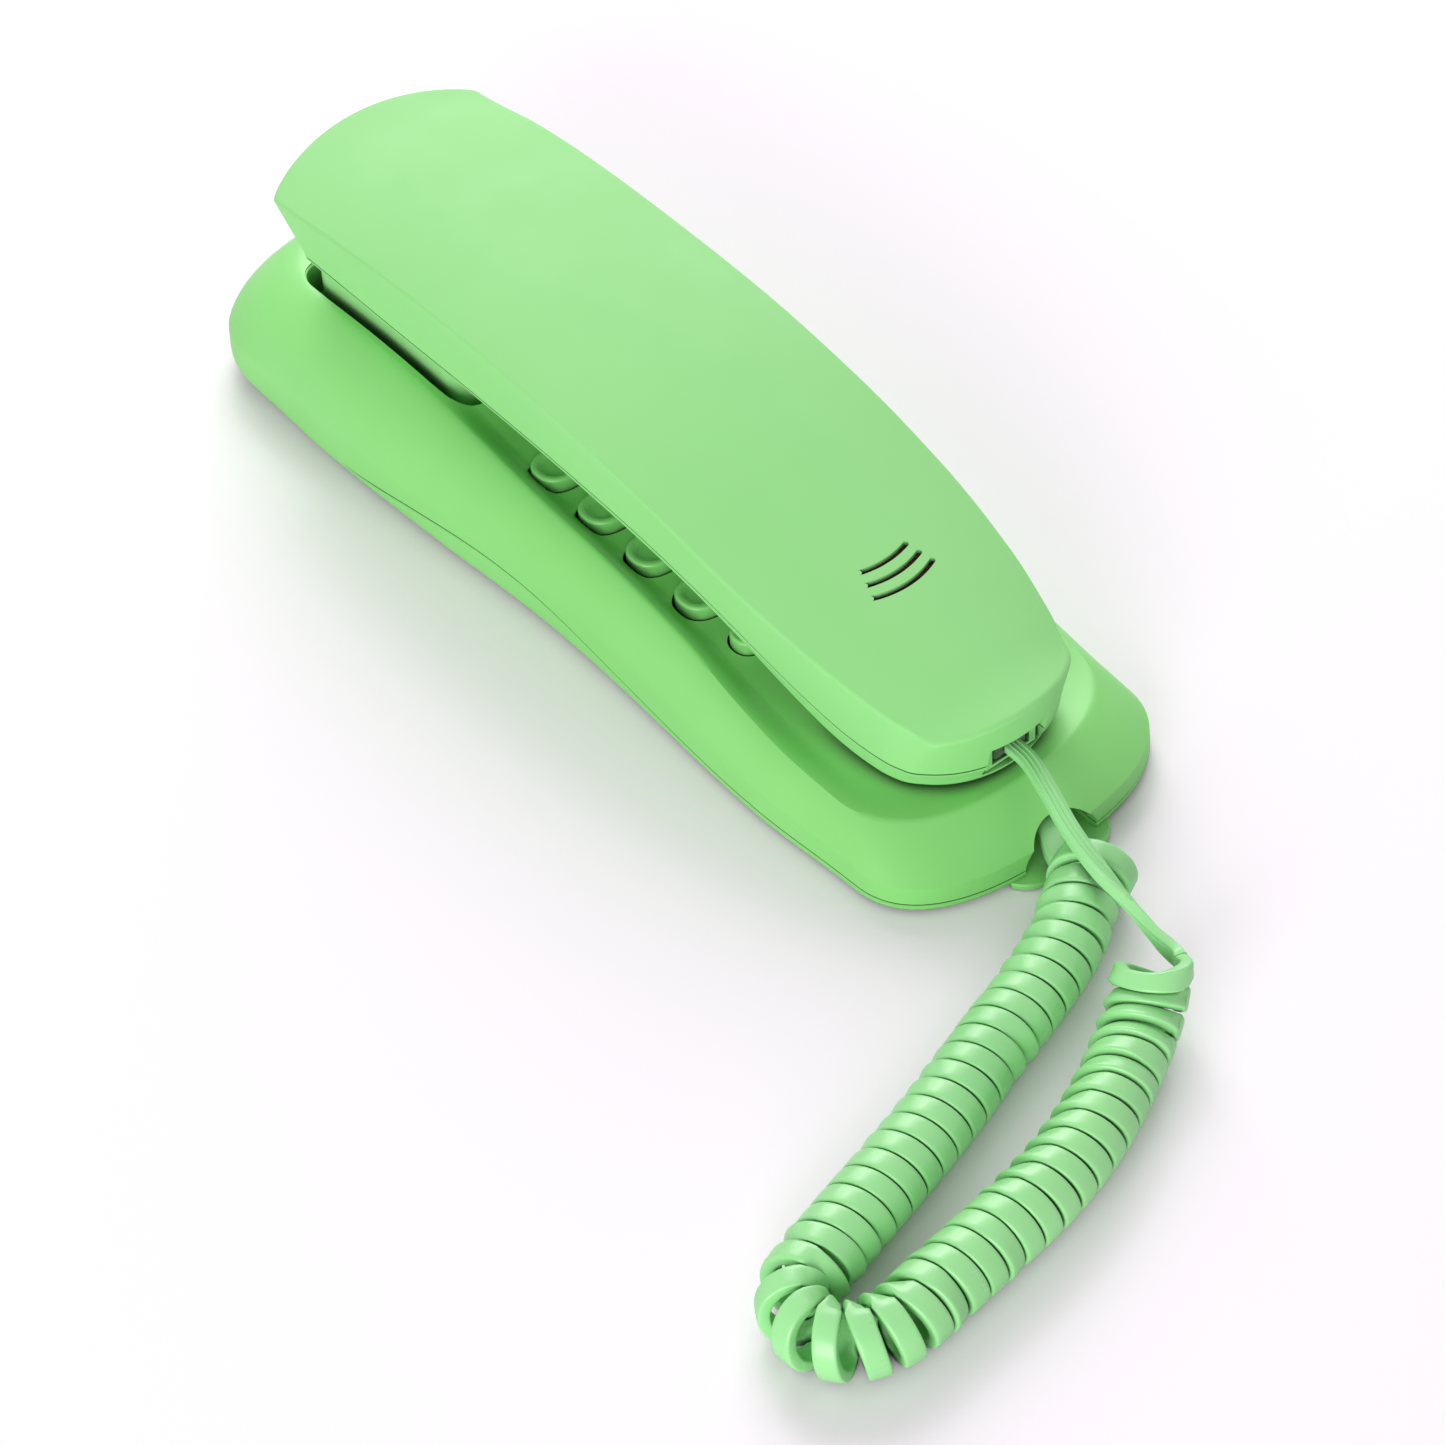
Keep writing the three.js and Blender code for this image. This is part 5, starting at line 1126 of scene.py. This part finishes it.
handset_clear, handset_gilt = make_plug("handset_clear_plug", "handset_plug", "handset")
base_clear, base_gilt = make_plug("base_clear_plug", "base_plug", "base")

# %% [markdown]
# ## What rides on what
#
# Every dressed shell moves with its body and stands for the working solid that it covers.

# %% Shells ride on their bodies
for piece, body, node_name, slot in (
    (base_top, "base", "base_top_shell", "base_plastic"),
    (base_back, "base", "base_back_shell", "base_plastic"),
    (handset_back, "handset", "handset_outer_shell", "handset_plastic"),
    (handset_inner, "handset", "handset_inner_shell", "handset_plastic"),
):
    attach(piece, body)
    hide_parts(node_name)
print("shells placed")

# %% [markdown]
# ## Materials
#
# Moulded ABS is slightly uneven: the colour drifts a little over the piece, and a fine spark
# texture breaks up the highlight. Colours are written as sRGB codes and made linear in one place.
# Patterns are sized in real millimetres, because object coordinates are metres here.

# %% Colour and node helpers


def linear(code):
    """A linear colour from an sRGB code such as a0e296."""
    values = [int(code[i:i + 2], 16) / 255 for i in (0, 2, 4)]
    return tuple(v / 12.92 if v <= 0.04045 else ((v + 0.055) / 1.055) ** 2.4 for v in values) + (1.0,)


def add_node(tree, kind, inputs=(), **settings):
    """A node with its settings; an input is a value or another node's output socket."""
    made = tree.nodes.new(kind)
    for key, value in settings.items():
        setattr(made, key, value)
    for key, value in dict(inputs).items():
        if isinstance(value, bpy.types.NodeSocket):
            tree.links.new(value, made.inputs[key])
        else:
            made.inputs[key].default_value = value
    return made


def new_material(name, code, **values):
    """A material with its tree, its shader and the object coordinates that its patterns use."""
    material = bpy.data.materials.new(name)
    material.use_nodes = True
    tree = material.node_tree
    shader = tree.nodes["Principled BSDF"]
    shader.inputs["Base Color"].default_value = linear(code)
    for key, value in values.items():
        shader.inputs[key.replace("_", " ")].default_value = value
    return material, tree, shader, add_node(tree, "ShaderNodeTexCoord").outputs["Object"]


def noise(tree, place, size_mm, detail, **more):
    """Noise with a grain of about size_mm."""
    inputs = {"Vector": place, "Scale": 1000 / size_mm, "Detail": detail, **more}
    return add_node(tree, "ShaderNodeTexNoise", inputs).outputs["Fac"]


def ramp(tree, value, low, high, low_place=0.0, high_place=1.0):
    """A colour between two sRGB codes, by a value."""
    node = add_node(tree, "ShaderNodeValToRGB", {"Fac": value})
    for element, code, place in zip(node.color_ramp.elements, (low, high), (low_place, high_place)):
        element.position, element.color = place, linear(code)
    return node.outputs["Color"]


def uneven_gloss(tree, shader, value, low, high, rough_low, rough_high):
    """Roughness from rough_low to rough_high as a value goes from low to high."""
    gloss = add_node(tree, "ShaderNodeMapRange", {"Value": value, "From Min": low, "From Max": high,
                                                  "To Min": rough_low, "To Max": rough_high})
    tree.links.new(gloss.outputs["Result"], shader.inputs["Roughness"])


def relief(tree, shader, height, depth_mm, strength):
    inputs = {"Height": height, "Distance": depth_mm * MM, "Strength": strength}
    bump = add_node(tree, "ShaderNodeBump", inputs)
    tree.links.new(bump.outputs["Normal"], shader.inputs["Normal"])


print("handset green, linear:", np.round(linear("a0e296")[:3], 3))

# %% Moulded plastics
# painted shade: how far the occlusion looks, the range from dark to the plain colour, and the dark colour
PAINTED_SHADE_REACH, PAINTED_SHADE_RANGE = 4.5 * MM, (0.16, 0.46)
PAINTED_SHADE_CODE = "0b1a0a"


def moulded(name, low_code, high_code, roughness, grain_mm, grain_depth, drift_mm=60, sheen=0.5):
    """Moulded plastic: slow colour drift, painted shade in gaps and recesses, uneven gloss, spark texture
    and faint handling marks.
    """
    material, tree, shader, place = new_material(name, high_code, Roughness=roughness, IOR=1.54)
    shader.inputs["Specular IOR Level"].default_value = sheen
    drift = ramp(tree, noise(tree, place, drift_mm, 3.0), low_code, high_code, 0.25, 0.75)
    # painted shade: where ambient occlusion finds narrow gaps and recesses, the colour goes dark, so they
    # read as dark lines
    openness = add_node(tree, "ShaderNodeAmbientOcclusion", {"Distance": PAINTED_SHADE_REACH}, samples=6)
    unshaded = add_node(tree, "ShaderNodeMapRange", {"Value": openness.outputs["AO"], "From Min": PAINTED_SHADE_RANGE[0],
                                                  "From Max": PAINTED_SHADE_RANGE[1]})
    colour = add_node(tree, "ShaderNodeMix", data_type="RGBA")
    colour.inputs[6].default_value = linear(PAINTED_SHADE_CODE)
    tree.links.new(unshaded.outputs["Result"], colour.inputs["Factor"])
    tree.links.new(drift, colour.inputs[7])
    tree.links.new(colour.outputs[2], shader.inputs["Base Color"])
    wipe = noise(tree, place, 14, 5.0, Roughness=0.62)
    uneven_gloss(tree, shader, wipe, 0.3, 0.7, roughness - 0.05, roughness + 0.06)
    grain, wave = noise(tree, place, grain_mm, 2.0), noise(tree, place, 9, 1.0)
    height = add_node(tree, "ShaderNodeMath", {0: wave, 1: 2.0, 2: grain}, operation="MULTIPLY_ADD")
    relief(tree, shader, height.outputs[0], grain_depth, 0.5)
    return material


BASE_ABS = moulded("abs_base_moulded", "85d773", "92e081", 0.4, 0.35, 0.012)
HANDSET_ABS = moulded("abs_handset_moulded", "92db86", "9be18f", 0.55, 0.3, 0.012, sheen=0.25)
KEY_ABS = moulded("abs_key_moulded", "88d779", "94e085", 0.34, 0.3, 0.01, drift_mm=20)
DARK_ABS = moulded("abs_dark_moulded", "1d1e1d", "2a2b29", 0.5, 0.3, 0.02, drift_mm=15)
CORD_VINYL = moulded("pvc_cord_extruded", "94dd90", "a2e89c", 0.3, 0.6, 0.01, drift_mm=25)
SILICONE = moulded("silicone_mat_moulded", "b3b6ae", "c0c3bb", 0.62, 0.2, 0.015, drift_mm=20)

# %% Clear, woven and metal materials


def clear_polycarbonate():
    """Clear plastic with a faint haze."""
    material, tree, shader, place = new_material("polycarbonate_clear_moulded", "eef6f2",
                                                 Roughness=0.06, IOR=1.585)
    shader.inputs["Transmission Weight"].default_value = 0.92
    uneven_gloss(tree, shader, noise(tree, place, 1.5, 3.0), 0.35, 0.75, 0.03, 0.16)
    return material


def acoustic_cloth():
    """Plain weave: two crossed bands, about three threads to the millimetre."""
    material, tree, shader, place = new_material("acoustic_cloth_woven", "4c2618", Roughness=0.9)
    bands = [add_node(tree, "ShaderNodeTexWave", {"Vector": place, "Scale": 1000 / 2.1}, wave_type="BANDS",
                      bands_direction=way).outputs["Fac"] for way in ("X", "Y")]
    weave = add_node(tree, "ShaderNodeMath", dict(enumerate(bands)), operation="MULTIPLY").outputs[0]
    tree.links.new(ramp(tree, weave, "2a140c", "8a4a30"), shader.inputs["Base Color"])
    relief(tree, shader, weave, 0.1, 0.7)
    return material


def plated(name, code, roughness, scratch_mm=0.5):
    """Plated or drawn metal: fine scratches one way and an uneven gloss."""
    material, tree, shader, place = new_material(name, code, Roughness=roughness, Metallic=1.0)
    stretched = add_node(tree, "ShaderNodeMapping", {"Vector": place, "Scale": (1.0, 0.12, 1.0)})
    scratch = noise(tree, stretched.outputs["Vector"], scratch_mm, 4.0)
    uneven_gloss(tree, shader, scratch, 0.3, 0.7, roughness - 0.1, roughness + 0.12)
    relief(tree, shader, scratch, 0.01, 0.4)
    return material


def glass_epoxy():
    """Circuit board: green solder mask over a faint weave."""
    material, tree, shader, place = new_material("glass_epoxy_board", "1f5a33", Roughness=0.32, IOR=1.5)
    weave = add_node(tree, "ShaderNodeTexChecker", {"Vector": place, "Scale": 1000 / 0.5,
                                                    "Color1": linear("1d5530"), "Color2": linear("246238")})
    tree.links.new(weave.outputs["Color"], shader.inputs["Base Color"])
    return material


CLEAR = clear_polycarbonate()
CLOTH = acoustic_cloth()
ZINC = plated("steel_zinc_plated", "c3c7ca", 0.32)
CAN = plated("aluminium_drawn", "cdd0d2", 0.28)
GILT = plated("contact_gilt", "e2b758", 0.25, 0.2)
BOARD = glass_epoxy()

# %% Materials on the pieces


def paint(obj, material):
    obj.data.materials.clear()
    obj.data.materials.append(material)


DRESSED = (
    (BASE_ABS, (base_top, base_back)), (HANDSET_ABS, (handset_back, handset_inner)),
    (KEY_ABS, caps.values()), (CORD_VINYL, (coiled_cord, handset_cord)),
    (CLEAR, (handset_clear, base_clear)), (GILT, (handset_gilt, base_gilt)),
)
for material, pieces in DRESSED:
    for piece in pieces:
        paint(piece, material)

CARRIED = {
    "circuit_board": BOARD, "vent_cloth": CLOTH, "microphone_capsule": CAN, "ballast_weight": ZINC,
    "handset_jack": HANDSET_ABS, "hook_plunger": BASE_ABS,
    **dict.fromkeys(["keypad_mat", "microphone_boot"], SILICONE),
    **dict.fromkeys(["hook_switch", "sounder", "line_jack", "ringer_switch_body", "ringer_switch",
                     "base_cord_jack", "receiver_capsule"], DARK_ABS),
    **dict.fromkeys(["base_screw_1", "base_screw_2", "base_screw_3", "base_screw_4",
                     "handset_screw_1", "handset_screw_2"], ZINC),
}
for node_name, material in CARRIED.items():
    paint(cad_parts[node_name], material)
print("materials:", len(bpy.data.materials))

# %% [markdown]
# ## Floor and light
#
# The picture has a white ground with one soft shadow to the lower left, and yet the left sides of
# the telephone are bright. So a large soft light stands low behind the upper right and throws the
# shadow, and a second one from the near left lights the walls from almost level, where it does
# little to the ground. A small lamp beside the large one gives each curl of the cord its glint.
# The ground is whiter to the camera than to the object, so it stays white round the shadow. Its
# colour is drawn slightly away from green, because the telephone tints it.

# %% Floor and lights
FLOOR_R, FLOOR_DROP, FLOOR_SIDES = 3.0, 0.05 * MM, 64
TO_OBJECT, TO_CAMERA = (0.8, 0.8, 0.8, 1), (1.07, 1.0, 1.07, 1)


def make_floor():
    ring = oval(FLOOR_R, FLOOR_R, (0, 0), -FLOOR_DROP, FLOOR_SIDES)
    obj = new_object("floor", ring, [tuple(range(FLOOR_SIDES))])
    material = bpy.data.materials.new("paper_white")
    material.use_nodes = True
    tree = material.node_tree
    tree.nodes.clear()
    path = add_node(tree, "ShaderNodeLightPath")
    colour = add_node(tree, "ShaderNodeMix", {"Factor": path.outputs["Is Camera Ray"]}, data_type="RGBA")
    colour.inputs[6].default_value = TO_OBJECT
    colour.inputs[7].default_value = TO_CAMERA
    paper = add_node(tree, "ShaderNodeBsdfDiffuse", {"Color": colour.outputs[2]})
    add_node(tree, "ShaderNodeOutputMaterial", {"Surface": paper.outputs["BSDF"]})
    paint(obj, material)


def soft_light(name, place, aim, size, power):
    data = bpy.data.lights.new(name, "AREA")
    data.size, data.energy = size, power
    turn = (Vector(aim) - Vector(place)).to_track_quat("-Z", "Y")
    placed(name, data).matrix_world = Matrix.Translation(place) @ turn.to_matrix().to_4x4()


def white_world(fill):
    """White to the camera and in reflections, and a weaker even fill for everything else."""
    world = bpy.data.worlds.new("white")
    world.use_nodes = True
    tree = world.node_tree
    back = tree.nodes["Background"]
    back.inputs["Color"].default_value = (1, 1, 1, 1)
    path = add_node(tree, "ShaderNodeLightPath")
    seen = path.outputs["Is Camera Ray"]
    for other in ("Is Glossy Ray", "Is Transmission Ray"):
        either = add_node(tree, "ShaderNodeMath", {0: seen, 1: path.outputs[other]}, operation="MAXIMUM")
        seen = either.outputs[0]
    strength = add_node(tree, "ShaderNodeMapRange", {"Value": seen, "To Min": fill, "To Max": 1.0})
    tree.links.new(strength.outputs["Result"], back.inputs["Strength"])
    bpy.context.scene.world = world


make_floor()
soft_light("key", (0.7, 0.85, 0.8), aim=(0, 0, 0.02), size=1.15, power=14.5)
soft_light("glint", (0.5, 0.75, 0.95), aim=(0, 0, 0.02), size=0.22, power=1.2)
soft_light("near_left", (-1.1, -0.7, 0.35), aim=(0, -0.02, 0.02), size=0.9, power=14)
white_world(fill=0.41)
bpy.context.scene.view_settings.view_transform = "Standard"
